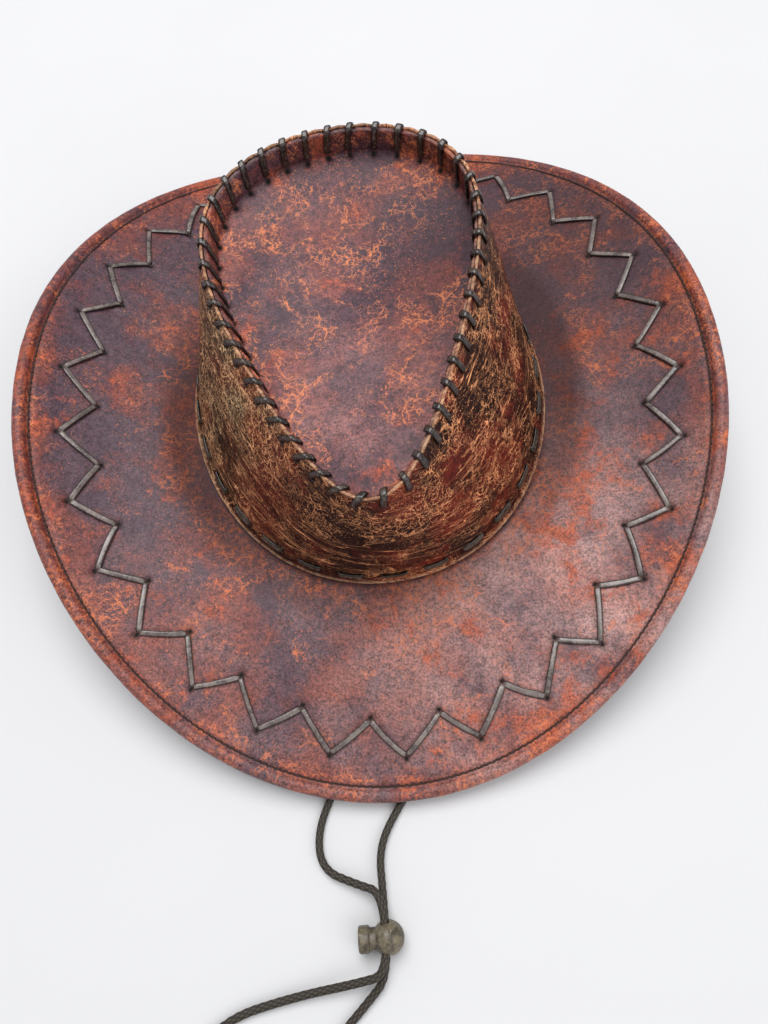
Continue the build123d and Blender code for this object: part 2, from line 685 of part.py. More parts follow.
def make_lock_body():
    pocket = SPRING_RADIUS + SPRING_WIRE / 2 + SPRING_CLEARANCE
    body = Sphere(LOCK_RADIUS)
    body -= between(-2 * LOCK_RADIUS, BORE_END, STEM_RADIUS + STEM_CLEARANCE)
    body -= between(0, SPRING_SEAT, pocket)
    body -= channel(CHANNEL_LOW, CHANNEL_HIGH, 3 * LOCK_RADIUS)
    return lock_place() * body


def make_lock_button():
    head = between(-BUTTON_STANDOFF - BUTTON_LENGTH, -BUTTON_STANDOFF, BUTTON_RADIUS)
    head = fillet(head.edges(), BUTTON_LENGTH / 5)
    stem = between(-BUTTON_STANDOFF - BUTTON_LENGTH / 2, STEM_END, STEM_RADIUS)
    stem -= channel(CHANNEL_LOW - BUTTON_TRAVEL, CHANNEL_HIGH, 3 * LOCK_RADIUS)
    return lock_place() * (head + stem)


def make_lock_spring():
    height = SPRING_ROOM - SPRING_WIRE - 2 * SPRING_CLEARANCE
    path = Helix(pitch=height / SPRING_COILS, height=height, radius=SPRING_RADIUS)
    wire = sweep(Plane(origin=path @ 0, z_dir=path % 0) * Circle(SPRING_WIRE / 2), path=path)
    return lock_place() * Pos(0, 0, STEM_END + SPRING_CLEARANCE + SPRING_WIRE / 2) * wire


# ---------------------------------------------------------------- write every node
os.makedirs("parts", exist_ok=True)

zigzag, zigzag_holes = make_zigzag()
whip, whip_holes = make_whip()
base_lace, base_holes = make_base_lace()
seam_stitches, seam_holes = make_seam_stitches()

save("brim_top_leather", make_brim_top().cut(*zigzag_holes, *base_holes))
save("brim_under_leather", make_brim_under().cut(*zigzag_holes))
save("edge_wire", wire_tube(WIRE_RADIUS) - edge_block(WIRE_END_GAP))
sleeve = wire_tube(WIRE_RADIUS + SLEEVE_WALL) - wire_tube(WIRE_RADIUS + SLEEVE_CLEARANCE)
save("edge_wire_sleeve", sleeve & edge_block(SLEEVE_LENGTH))
save("edge_thread_top", thread_ring(lambda angle: seam_line(angle, 1)))
save("edge_thread_under", thread_ring(lambda angle: seam_line(angle, -1)))
save("brim_zigzag_lace", zigzag)

crown_wall = wall_ring(0, 1, 0, -LEATHER) - seam_block(BACK_SEAM_GAP)
save("crown_wall", crown_wall.cut(*whip_holes, *base_holes, *seam_holes))
stay = wall_ring(wall_share(SEAM_FOOT), 1 - wall_share(SEAM_HEAD), -SECOND_SKIN, -SECOND_SKIN - SEAM_STAY)
save("crown_seam_stay", (stay & seam_block(SEAM_STAY_WIDTH)).cut(*seam_holes))
save("crown_seam_stitches", seam_stitches)
save("crown_top_panel", make_top_panel().cut(*whip_holes))
save("ridge_whip_lace", whip)
save("crown_base_lace", base_lace)

inset = SWEATBAND_INSET
save("sweatband", wall_ring(wall_share(-WALL_FOOT - SWEATBAND_DROP),
                            wall_share(SWEATBAND_HEIGHT - WALL_FOOT - SWEATBAND_DROP),
                            -inset, -inset - SWEATBAND_THICKNESS))
hem_lift = -inset - SWEATBAND_THICKNESS - LAYER_GAP - THREAD_RADIUS
hem_share = wall_share(SWEATBAND_HEM - WALL_FOOT - SWEATBAND_DROP)
hem = thread_ring(lambda angle: wall(angle, hem_share, hem_lift))
for side in (0, 1):
    hem -= tab_place(side) * Box(*[size + 2 * LAYER_GAP for size in (TAB_THICKNESS, TAB_WIDTH, TAB_HEIGHT)])
save("sweatband_thread", hem)

save("cord_tab_left", make_tab(0))
save("cord_tab_right", make_tab(1))
save("chin_cord", make_cord())
save("cord_lock_body", make_lock_body())
save("cord_lock_button", make_lock_button())
save("cord_lock_spring", make_lock_spring())
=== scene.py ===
import math
from functools import partialmethod
from types import SimpleNamespace

import bpy
import numpy as np
from mathutils import Matrix


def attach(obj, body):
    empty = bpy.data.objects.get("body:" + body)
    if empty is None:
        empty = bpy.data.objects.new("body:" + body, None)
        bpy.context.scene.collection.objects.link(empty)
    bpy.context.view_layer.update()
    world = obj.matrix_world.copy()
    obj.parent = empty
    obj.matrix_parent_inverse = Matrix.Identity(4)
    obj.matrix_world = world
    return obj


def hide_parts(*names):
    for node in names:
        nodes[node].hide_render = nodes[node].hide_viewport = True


# A laced leather western hat: leathers, laces, threads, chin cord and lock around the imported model.
# Lengths are millimetres until a mesh is made; the surfaces follow the same formulas as the solids.

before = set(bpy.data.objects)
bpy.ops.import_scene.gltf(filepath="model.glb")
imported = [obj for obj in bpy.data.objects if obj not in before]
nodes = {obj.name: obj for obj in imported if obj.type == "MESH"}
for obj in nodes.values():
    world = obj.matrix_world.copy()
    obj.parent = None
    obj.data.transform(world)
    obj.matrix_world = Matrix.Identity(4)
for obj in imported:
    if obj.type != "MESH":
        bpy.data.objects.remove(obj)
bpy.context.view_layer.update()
MM = 0.001
FULL_TURN = 2 * math.pi

# ---------- camera, as the photograph's
CAMERA_PLACE = (3.49, -205.62, 366.63)
CAMERA_RIGHT = (0.99652, -0.07609, -0.03394)
CAMERA_DOWN = (-0.0833, -0.91817, -0.38733)
CAMERA_AHEAD = (-0.0017, 0.38881, -0.92132)
CAMERA_LENS, CAMERA_SENSOR = 26.69, 36.0     # millimetres


def linked(name, data, right=None, up=None, away=None, place=None):
    """A new object in the scene, with the ways of its axes and its place in metres if they are given."""
    obj = bpy.data.objects.new(name, data)
    bpy.context.scene.collection.objects.link(obj)
    if place is not None:
        obj.matrix_world = Matrix((*zip(right, up, away, place), (0, 0, 0, 1)))
    return obj


def add_camera():
    data = bpy.data.cameras.new("camera")
    data.lens = CAMERA_LENS
    data.sensor_width = CAMERA_SENSOR
    data.sensor_fit = "AUTO"
    up, back = [-c for c in CAMERA_DOWN], [-c for c in CAMERA_AHEAD]
    bpy.context.scene.camera = linked("camera", data, CAMERA_RIGHT, up, back, [c * MM for c in CAMERA_PLACE])


add_camera()

# ---------- sizes shared with the solids
LEATHER, UNDER_LEATHER, LAYER_GAP = 1.3, 1.1, 0.3
BRIM_WIDTH, BRIM_LENGTH = 337.0, 387.0
FRONT_SQUARENESS, BACK_SQUARENESS = 2.0, 2.35
WIDEST_BEHIND, SIDE_RISE, BRIM_CURL = 6.3, 58.0, 1.6
GROOVE_LAND, GROOVE_DEPTH = 0.9, 0.4
BASE_WIDTH, BASE_LENGTH, BASE_SQUARENESS = 174.2, 201.4, 2.08
BASE_HEIGHT, BASE_SIDE_LIFT = 26.0, 8.3
CROWN_BACK_SHIFT, CROWN_TWIST, WALL_FOOT, WALL_BULGE = 5.0, 3.3, 3.3, 2.0
RIDGE_HALF_WIDTH, RIDGE_HALF_LENGTH = 54.1, 91.4
RIDGE_TAPER, RIDGE_FULLNESS = 0.565, 0.204
RIDGE_BACK_SHIFT, RIDGE_LEAN = -2.4, -4.9
RIDGE_FRONT_HEIGHT, RIDGE_BACK_HEIGHT, RIDGE_SAG, RIDGE_TILT = 103.2, 114.9, 4.6, 7.6
FLANGE_HEIGHT, FLANGE_TURN = 8.0, 3.0
DISH_DEPTH, DISH_BACK_SHIFT = 12.0, 12.0
COLLAR_HEIGHT = 14.0
LACE_THICKNESS, LACE_WIDTH, LACE_CLEARANCE = 0.9, 2.8, 0.45
ZIGZAG_COUNT, ZIGZAG_OUTER_INSET, ZIGZAG_INNER_INSET = 29, 19.4, 35.2
ZIGZAG_CROWDING, ZIGZAG_FRONT = 9.0, 271.0
ZIGZAG_END_GAP, ZIGZAG_HOLE_BEYOND = 0.9, 1.2
WHIP_COUNT, WHIP_DEPTH = 45, 6.5
BASE_LACE_COUNT, BASE_LACE_SHARE, BASE_LACE_HEIGHT = 29, 0.55, 5.5
SWEATBAND_THICKNESS, SWEATBAND_INSET, SWEATBAND_HEIGHT = 1.2, 4.8, 34.0
SWEATBAND_DROP, SWEATBAND_HEM = 1.0, 3.0
SEAM_STAY, SEAM_STITCHES, SEAM_ROW_OFFSET, SEAM_STITCH_LENGTH = 1.0, 13, 4.0, 3.4
SEAM_FOOT, SEAM_HEAD, SEAM_THREAD, SEAM_WIDTH, SEAM_LIFT = 14.0, 12.0, 0.7, 0.75, 0.3
CORD_DIAMETER, ROLL_RADIUS = 3.5, 3.1
FRONT_EDGE_HEIGHT = CORD_DIAMETER + LAYER_GAP + ROLL_RADIUS
BRIM_PLY = LEATHER + LAYER_GAP + UNDER_LEATHER
WALL_PLY = 2 * LEATHER + LAYER_GAP
SECOND_SKIN = LEATHER + LAYER_GAP
EDGE_TO_GROOVE = 2 * ROLL_RADIUS + GROOVE_LAND
BACK = math.pi / 2           # angle of the hat's back; the front is at 270 degrees
UP, LEVEL = np.array([0.0, 0.0, 1.0]), np.array([1.0, 1.0, 0.0])
STEP = 1e-4
RIPPLES = 9                  # waves that add up to a soft unevenness


# ---------- arithmetic on arrays of points
def mix(start, end, share):
    return start + (end - start) * share


def point(x, y, z):
    return np.stack(np.broadcast_arrays(x, y, z), axis=-1).astype(float)


def wide(values):
    """A number for each point, ready to multiply vectors."""
    return np.asarray(values)[..., None]


def unit(vectors):
    return vectors / np.linalg.norm(vectors, axis=-1, keepdims=True)


def bell(distance, width):
    return np.exp(-((distance / width) ** 2))


def near_angle(angle, degrees, width):
    """1 at an angle of the hat, falling off over a width, both in degrees."""
    return bell((np.degrees(angle) - degrees + 180) % 360 - 180, width)


def line_distance(points, start, end):
    """Distance of points from the straight line between start and end."""
    way = end - start
    part = np.clip(((points - start) @ way) / (way @ way), 0, 1)
    return np.linalg.norm(points - start - wide(part) * way, axis=-1)


def near_lines(points, starts, ends, width):
    """1 on the straight lines between starts and ends, falling off over the width."""
    total = np.zeros(points.shape[:-1])
    for start, end in zip(starts, ends):
        reach = np.linalg.norm(end - start) / 2 + 3 * width
        near = np.abs(points - (start + end) / 2).max(-1) < reach
        total[near] = np.maximum(total[near], bell(line_distance(points[near], start, end), width))
    return total


def ripple(points, seed, length):
    """Smooth unevenness between about -1 and 1, with waves of about a length."""
    rng = np.random.default_rng(seed)
    ways = unit(rng.normal(size=(RIPPLES, 3))) * rng.uniform(0.6, 1.7, (RIPPLES, 1)) * FULL_TURN / length
    return np.sin(points @ ways.T + rng.uniform(0, FULL_TURN, RIPPLES)).mean(-1) * 2


# ---------- the hat's surfaces
def polar(angle, half_width, half_length, squareness):
    reach = (np.abs(np.cos(angle) / half_width) ** squareness
             + np.abs(np.sin(angle) / half_length) ** squareness) ** (-1 / squareness)
    return reach * np.cos(angle), reach * np.sin(angle)


def turned(x, y):
    twist = math.radians(CROWN_TWIST)
    return (x * math.cos(twist) - y * math.sin(twist),
            x * math.sin(twist) + y * math.cos(twist) + CROWN_BACK_SHIFT)


def brim_edge(angle):
    back = 0.5 + 0.5 * np.sin(angle)
    squareness = mix(FRONT_SQUARENESS, BACK_SQUARENESS, back)
    x, y = polar(angle, BRIM_WIDTH / 2 - ROLL_RADIUS, BRIM_LENGTH / 2 - ROLL_RADIUS, squareness)
    side = np.cos(angle) ** 2
    level = mix(FRONT_EDGE_HEIGHT, ROLL_RADIUS, back)
    return point(x, y + WIDEST_BEHIND * side, level * (1 - side) + (SIDE_RISE + ROLL_RADIUS) * side)


def crown_foot(angle):
    x, y = turned(*polar(angle, BASE_WIDTH / 2, BASE_LENGTH / 2, BASE_SQUARENESS))
    return point(x, y, BASE_HEIGHT + BASE_SIDE_LIFT * (np.cos(angle) ** 2 - 0.5))


def ridge(angle):
    back = 0.5 + 0.5 * np.sin(angle)
    half_width = RIDGE_HALF_WIDTH * (1 + RIDGE_TAPER * np.sin(angle) + RIDGE_FULLNESS * np.sin(angle) ** 2)
    x, y = turned(half_width * np.cos(angle) + RIDGE_LEAN,
                  RIDGE_HALF_LENGTH * np.sin(angle) + RIDGE_BACK_SHIFT)
    level = mix(RIDGE_FRONT_HEIGHT, RIDGE_BACK_HEIGHT, back) - 4 * RIDGE_SAG * back * (1 - back)
    return point(x, y, level + RIDGE_TILT * np.cos(angle))


def wall_skin(angle, share):
    foot = crown_foot(angle) + UP * WALL_FOOT
    outward = unit((foot - [0, CROWN_BACK_SHIFT, 0]) * LEVEL)
    return mix(foot, ridge(angle), wide(share)) + outward * wide(4 * WALL_BULGE * share * (1 - share))


def normal_of(skin, angle, share):
    around = skin(angle + STEP, share) - skin(angle - STEP, share)
    across = skin(angle, share + STEP) - skin(angle, share - STEP)
    return unit(np.cross(around, across))


def lifted(skin, angle, share, lift):
    return skin(angle, share) + normal_of(skin, angle, share) * wide(lift)


def wall(angle, share, lift=0.0):
    return lifted(wall_skin, angle, share, lift)


WALL_HEIGHT = (RIDGE_FRONT_HEIGHT + RIDGE_BACK_HEIGHT) / 2 - BASE_HEIGHT - WALL_FOOT


def wall_at(angle, height, lift=0.0):
    return wall(angle, height / WALL_HEIGHT, lift)


def rows_along(skin, angle, shares, lift=0.0):
    return [lifted(skin, angle, share, lift) for share in shares]


def rounded(first, corner, last, share):
    return mix(mix(first, corner, wide(share)), mix(corner, last, wide(share)), wide(share))


def fillet_corner(angle):
    start = wall(angle, 0.0, -SECOND_SKIN)
    down = wall(angle, -STEP, -SECOND_SKIN) - start
    return start + down * wide(WALL_FOOT / -down[..., 2])


def brim_start(angle):
    corner = fillet_corner(angle)
    return corner + unit((corner - [0, CROWN_BACK_SHIFT, 0]) * LEVEL) * WALL_FOOT


def roll_frame(angle):
    """Middle of the edge roll, the brim's outward slope there and its upward normal."""
    middle, start = brim_edge(angle), brim_start(angle)
    along = brim_edge(angle + STEP) - brim_edge(angle - STEP)
    outward = unit(np.cross(along, UP))
    run = np.linalg.norm((middle - start)[..., :2], axis=-1)
    outward = unit(outward + UP * wide(BRIM_CURL * (middle - start)[..., 2] / run))
    return middle, outward, unit(np.cross(outward, along))


def groove(angle):
    middle, outward, normal = roll_frame(angle)
    return middle - outward * (ROLL_RADIUS + GROOVE_LAND) + normal * (BRIM_PLY / 2 - GROOVE_DEPTH)


# Soft unevenness of the brim and of the dish: its height and the length of its waves.
SWAY, SWAY_LENGTH = 0.9, 95.0
DISH_UNEVEN, DISH_UNEVEN_LENGTH = 1.1, 55.0


def brim_skin(angle, share):
    outer, inner = groove(angle), brim_start(angle)
    flat = mix(outer, inner, wide(share))
    rise = np.sign(1 - share) * np.abs(1 - share) ** BRIM_CURL
    flat[..., 2] = mix(inner[..., 2], outer[..., 2], rise)
    calm = np.clip(4 * share * (1 - share), 0, 1)
    flat[..., 2] += SWAY * calm * ripple(flat * LEVEL, 3, SWAY_LENGTH)
    return flat


def brim(angle, share, lift=0.0):
    return lifted(brim_skin, angle, share, lift)


def bend_skin(angle, share):
    return rounded(brim_start(angle), fillet_corner(angle), wall(angle, 0.0, -SECOND_SKIN), share)


def brim_reach(angle):
    return np.linalg.norm(groove(angle) - brim_start(angle), axis=-1)


def inset_share(angle, inset):
    return (inset - EDGE_TO_GROOVE) / brim_reach(angle)


def dish_middle():
    x, y = turned(RIDGE_LEAN, RIDGE_BACK_SHIFT + DISH_BACK_SHIFT)
    return np.array([x, y, (RIDGE_FRONT_HEIGHT + RIDGE_BACK_HEIGHT) / 2 - FLANGE_HEIGHT - DISH_DEPTH])


def flange_skin(angle, share):
    return wall(angle, 1 - share * FLANGE_HEIGHT / WALL_HEIGHT, -SECOND_SKIN - LEATHER)


def dish_corner(angle):
    foot = flange_skin(angle, 1.0)
    return foot + unit(foot - flange_skin(angle, 1 - STEP)) * FLANGE_TURN


def dish_start(angle):
    corner = dish_corner(angle)
    inward = (dish_middle() - corner) * LEVEL
    slope = 2 * (dish_middle() - corner)[..., 2] / np.linalg.norm(inward, axis=-1)
    return corner + (unit(inward) + UP * wide(slope)) * FLANGE_TURN


def dish_skin(angle, share):
    start, middle = dish_start(angle), dish_middle()
    flat = mix(start, middle, wide(share))
    flat[..., 2] = mix(start[..., 2], middle[2], 1 - (1 - share) ** 2)
    calm = np.clip(6 * share, 0, 1) ** 2
    flat[..., 2] += DISH_UNEVEN * calm * ripple(flat * LEVEL, 11, DISH_UNEVEN_LENGTH)
    return flat


def turn_skin(angle, share):
    return rounded(flange_skin(angle, 1.0), dish_corner(angle), dish_start(angle), share)


# ---------- even spacing along loops
FINE = np.linspace(0, FULL_TURN, 2881)


def run_of(points):
    """Length of a line of points up to each of them."""
    return np.concatenate([[0], np.cumsum(np.linalg.norm(np.diff(points, axis=0), axis=1))])


def reach_along(curve):
    return run_of(curve(FINE))


def radian_length(curve, angle):
    """Length of a curve for each radian, at an angle."""
    return np.linalg.norm(curve(angle + STEP) - curve(angle - STEP), axis=-1) / (2 * STEP)


def evenly(curve, count, start=0.0):
    reach = reach_along(curve)
    return np.interp((start + np.arange(count)) / count % 1 * reach[-1], reach, FINE)


def zigzag_angles():
    reach = reach_along(lambda a: brim(a, inset_share(a, ZIGZAG_OUTER_INSET)))
    start = np.interp(math.radians(ZIGZAG_FRONT), FINE, reach)
    turn = np.arange(2 * ZIGZAG_COUNT) / (2 * ZIGZAG_COUNT)
    goal = start + turn * reach[-1] - ZIGZAG_CROWDING * np.sin(FULL_TURN * turn)
    return np.interp(goal % reach[-1], reach, FINE)


# ---------- mesh makers
def new_object(name, verts, faces, uv=None, smooth=True, **attributes):
    mesh = bpy.data.meshes.new(name)
    mesh.from_pydata((np.asarray(verts) * MM).tolist(), [], faces)
    if uv is not None:
        layer = mesh.uv_layers.new(name="flow")
        layer.data.foreach_set("uv", np.asarray(uv, float).ravel())
    for key, values in attributes.items():
        if key == "shade":
            values = np.clip(values, 0, 1)
        data = mesh.attributes.new(key, "FLOAT", "POINT")
        data.data.foreach_set("value", np.asarray(values, float).ravel())
    mesh.polygons.foreach_set("use_smooth", [smooth] * len(mesh.polygons))
    mesh.update()
    return linked(name, mesh)


def ring_faces(rows, columns, closed):
    """Quads of a grid whose columns close; its rows close too if closed."""
    count = rows if closed else rows - 1
    row = np.arange(count)[:, None]
    column = np.arange(columns)[None, :]
    after, beside = (row + 1) % rows, (column + 1) % columns
    return np.stack([row * columns + column, row * columns + beside,
                     after * columns + beside, after * columns + column], -1).reshape(-1, 4)


def ring_object(name, grid, flow, closed=True, caps=False, **attributes):
    """Surface from a grid of points (rows, columns, 3); flow holds u and v of (rows, columns + 1)."""
    rows, columns = grid.shape[:2]
    quads = ring_faces(rows, columns, closed)
    row, column = np.divmod(quads[:, 0], columns)
    after = (row + 1) % rows
    u, v = flow
    uv = np.stack([np.stack([u[r, c], v[r, c]], -1)
                   for r, c in ((row, column), (row, column + 1), (after, column + 1), (after, column))], 1)
    faces = quads.tolist()
    verts = grid.reshape(-1, 3)
    uv = uv.reshape(-1, 2)
    if caps:
        for end, order in ((0, -1), (rows - 1, 1)):
            middle = len(verts)
            verts = np.vstack([verts, grid[end].mean(0)])
            attributes = {key: np.append(np.ravel(values), np.ravel(values)[end * columns])
                          for key, values in attributes.items()}
            for c in range(columns):
                pair = [end * columns + c, end * columns + (c + 1) % columns]
                faces.append(pair[::order] + [middle])
                uv = np.vstack([uv, [[u[end, c], v[end, c]]] * 3])
    return new_object(name, verts, faces, uv, **attributes)


STRAP_SECTION = np.array([(-1, -0.35), (-0.88, -0.9), (-0.4, -1), (0.4, -1), (0.88, -0.9), (1, -0.35),
                          (1, 0.4), (0.86, 0.9), (0.45, 1.1), (0, 1.18), (-0.45, 1.1), (-0.86, 0.9),
                          (-1, 0.4)])
GOLDEN_SHARE = 0.61803       # its multiples spread the straps' tones evenly
ROUND_SECTION = np.array([(math.cos(t), math.sin(t)) for t in np.arange(8) * FULL_TURN / 8])


def ways_round(points):
    """For each point of a closed line, the way from the point before it to the one after it."""
    return np.roll(points, -1, 0) - np.roll(points, 1, 0)


def strap(path, normals, widths, thickness, section=STRAP_SECTION, closed=True):
    """Points and faces of a strip or thread along a path, with its flat side along the normals."""
    if closed:
        along = unit(ways_round(path))
    else:
        along = unit(np.gradient(path, axis=0))
    normals = unit(normals - along * wide((normals * along).sum(-1)))
    side = np.cross(along, normals)
    widths = np.broadcast_to(widths, len(path))
    thick = np.broadcast_to(thickness, len(path))
    verts = (path[:, None]
             + side[:, None] * (section[None, :, 0] * widths[:, None] / 2)[..., None]
             + normals[:, None] * (section[None, :, 1] * thick[:, None] / 2)[..., None])
    count = len(section)
    faces = ring_faces(len(path), count, closed).tolist()
    if not closed:
        faces += [list(range(count))[::-1], [(len(path) - 1) * count + k for k in range(count)]]
    return verts.reshape(-1, 3), faces


def group_object(name, parts, section=STRAP_SECTION):
    """One object of many straps; piece tells them apart, border is 1 along their two edges."""
    verts, faces, marks, base = [], [], [], 0
    for index, (part, its_faces) in enumerate(parts):
        verts.append(part)
        faces += [[v + base for v in face] for face in its_faces]
        marks += [(index * GOLDEN_SHARE) % 1] * len(part)
        base += len(part)
    borders = np.tile(np.abs(section[:, 0]) > 0.8, base // len(section))
    return new_object(name, np.vstack(verts), faces, piece=marks, border=borders)


def oval_path(length, height, corner):
    """Closed path in a plane, flat above and below with round corners, from the top's middle on."""
    half, tall = length / 2, height / 2
    points = [(t * (half - corner), tall) for t in (-0.6, -0.3, 0, 0.3, 0.6)]
    for cx, cy, first in ((1, 1, 90), (1, -1, 0), (-1, -1, -90), (-1, 1, 180)):
        for step in range(7):
            turn = math.radians(first - 15 * step)
            points.append((cx * (half - corner) + corner * math.cos(turn),
                           cy * (tall - corner) + corner * math.sin(turn)))
        if (cx, cy) == (1, -1):
            points += [(t * (half - corner), -tall) for t in (0.6, 0.3, 0, -0.3, -0.6)]
    return np.array(points)


def finish_piece(obj, material, replaced):
    """Leathers, laces, threads and cord all ride on the hat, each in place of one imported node."""
    obj.data.materials.append(material)
    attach(obj, "hat")
    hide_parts(replaced)


# ---------- materials
class Shader:
    """A material written as a chain of small calls, each giving a socket."""

    def __init__(self, name):
        self.material = bpy.data.materials.new(name)
        self.material.use_nodes = True
        self.tree = self.material.node_tree
        self.tree.nodes.clear()

    def add(self, kind, inputs, out=0, **settings):
        node = self.tree.nodes.new(kind)
        for key, value in settings.items():
            setattr(node, key, value)
        for key, value in inputs.items():
            if isinstance(value, bpy.types.NodeSocket):
                self.tree.links.new(value, node.inputs[key])
            else:
                node.inputs[key].default_value = value
        return None if out is None else node.outputs[out]

    def math(self, operation, first, second=0.0):
        return self.add("ShaderNodeMath", {0: first, 1: second}, operation=operation)

    plus, minus = partialmethod(math, "ADD"), partialmethod(math, "SUBTRACT")
    times, most = partialmethod(math, "MULTIPLY"), partialmethod(math, "MAXIMUM")

    def noise(self, where, scale, detail=4.0, roughness=0.55, distortion=0.0):
        return self.add("ShaderNodeTexNoise", {"Vector": where, "Scale": scale, "Detail": detail,
                                               "Roughness": roughness, "Distortion": distortion})

    def cracks(self, where, scale):
        return self.add("ShaderNodeTexVoronoi", {"Vector": where, "Scale": scale},
                        feature="DISTANCE_TO_EDGE")

    def between(self, value, low, high):
        """0 below low, 1 over high, smooth between; low may be over high."""
        return self.add("ShaderNodeMapRange", {"Value": value, "From Min": low, "From Max": high},
                        interpolation_type="SMOOTHSTEP")

    def patches(self, where, scale, detail, roughness, low, high):
        return self.between(self.noise(where, scale, detail, roughness), low, high)

    def crackle(self, where, push_scale, push, scale, width):
        """Uneven thin cracks: 1 along them, 0 at their width."""
        return self.between(self.cracks(self.warped(where, push_scale, push), scale), width, 0.0)

    def mix(self, share, first, second):
        return self.add("ShaderNodeMix", {0: share, 6: first, 7: second}, out=2, data_type="RGBA")

    def attribute(self, name):
        return self.add("ShaderNodeAttribute", {}, out=2, attribute_name=name)

    def place(self):
        return self.add("ShaderNodeTexCoord", {}, out=3)

    def contour(self, value, width):
        """Thin lines where a noise crosses its middle."""
        return self.between(self.math("ABSOLUTE", self.minus(value, 0.5)), width, 0.0)

    def flow(self, *scale):
        where = self.add("ShaderNodeUVMap", {}, uv_map="flow")
        return self.add("ShaderNodeMapping", {"Vector": where, "Scale": scale})

    def warped(self, where, scale, amount):
        """Coordinates pushed about by noise, so that lines run unevenly."""
        push = self.add("ShaderNodeTexNoise", {"Vector": where, "Scale": scale, "Detail": 3.0}, out=1)
        push = self.add("ShaderNodeVectorMath", {0: push, 1: (0.5, 0.5, 0.5)}, operation="SUBTRACT")
        push = self.add("ShaderNodeVectorMath", {0: push, "Scale": amount}, operation="SCALE")
        return self.add("ShaderNodeVectorMath", {0: where, 1: push}, operation="ADD")

    def finish(self, colour, roughness, height=None, depth=0.001, **shader):
        inputs = {"Base Color": colour, "Roughness": roughness, **shader}
        if height is not None:
            inputs["Normal"] = self.add("ShaderNodeBump", {"Height": height, "Distance": depth,
                                                           "Strength": 1.0})
        surface = self.add("ShaderNodeBsdfPrincipled", inputs)
        self.add("ShaderNodeOutputMaterial", {"Surface": surface}, out=None)
        return self.material


def begin(name):
    """A new material and its plain coordinates."""
    s = Shader(name)
    return s, s.place()


def colour(red, green, blue):
    """Linear colour of an sRGB colour given from 0 to 255."""
    parts = [c / 255 for c in (red, green, blue)]
    return tuple(c / 12.92 if c <= 0.04045 else ((c + 0.055) / 1.055) ** 2.4 for c in parts) + (1.0,)


NEAR_BLACK = colour(22, 16, 14)
# DEEP is the deep red brown that painted shade and darker leather tone are mixed towards.
DEEP = colour(46, 17, 13)
BRAID_GAP_SHADE = colour(14, 11, 8)
SCUFF = colour(158, 146, 134)
RAW_EDGE, RAW_SHADOW = colour(214, 172, 138), colour(140, 92, 68)
DRY, DRY_DARK, DRY_STREAK = colour(64, 49, 34), colour(34, 24, 18), colour(232, 190, 144)


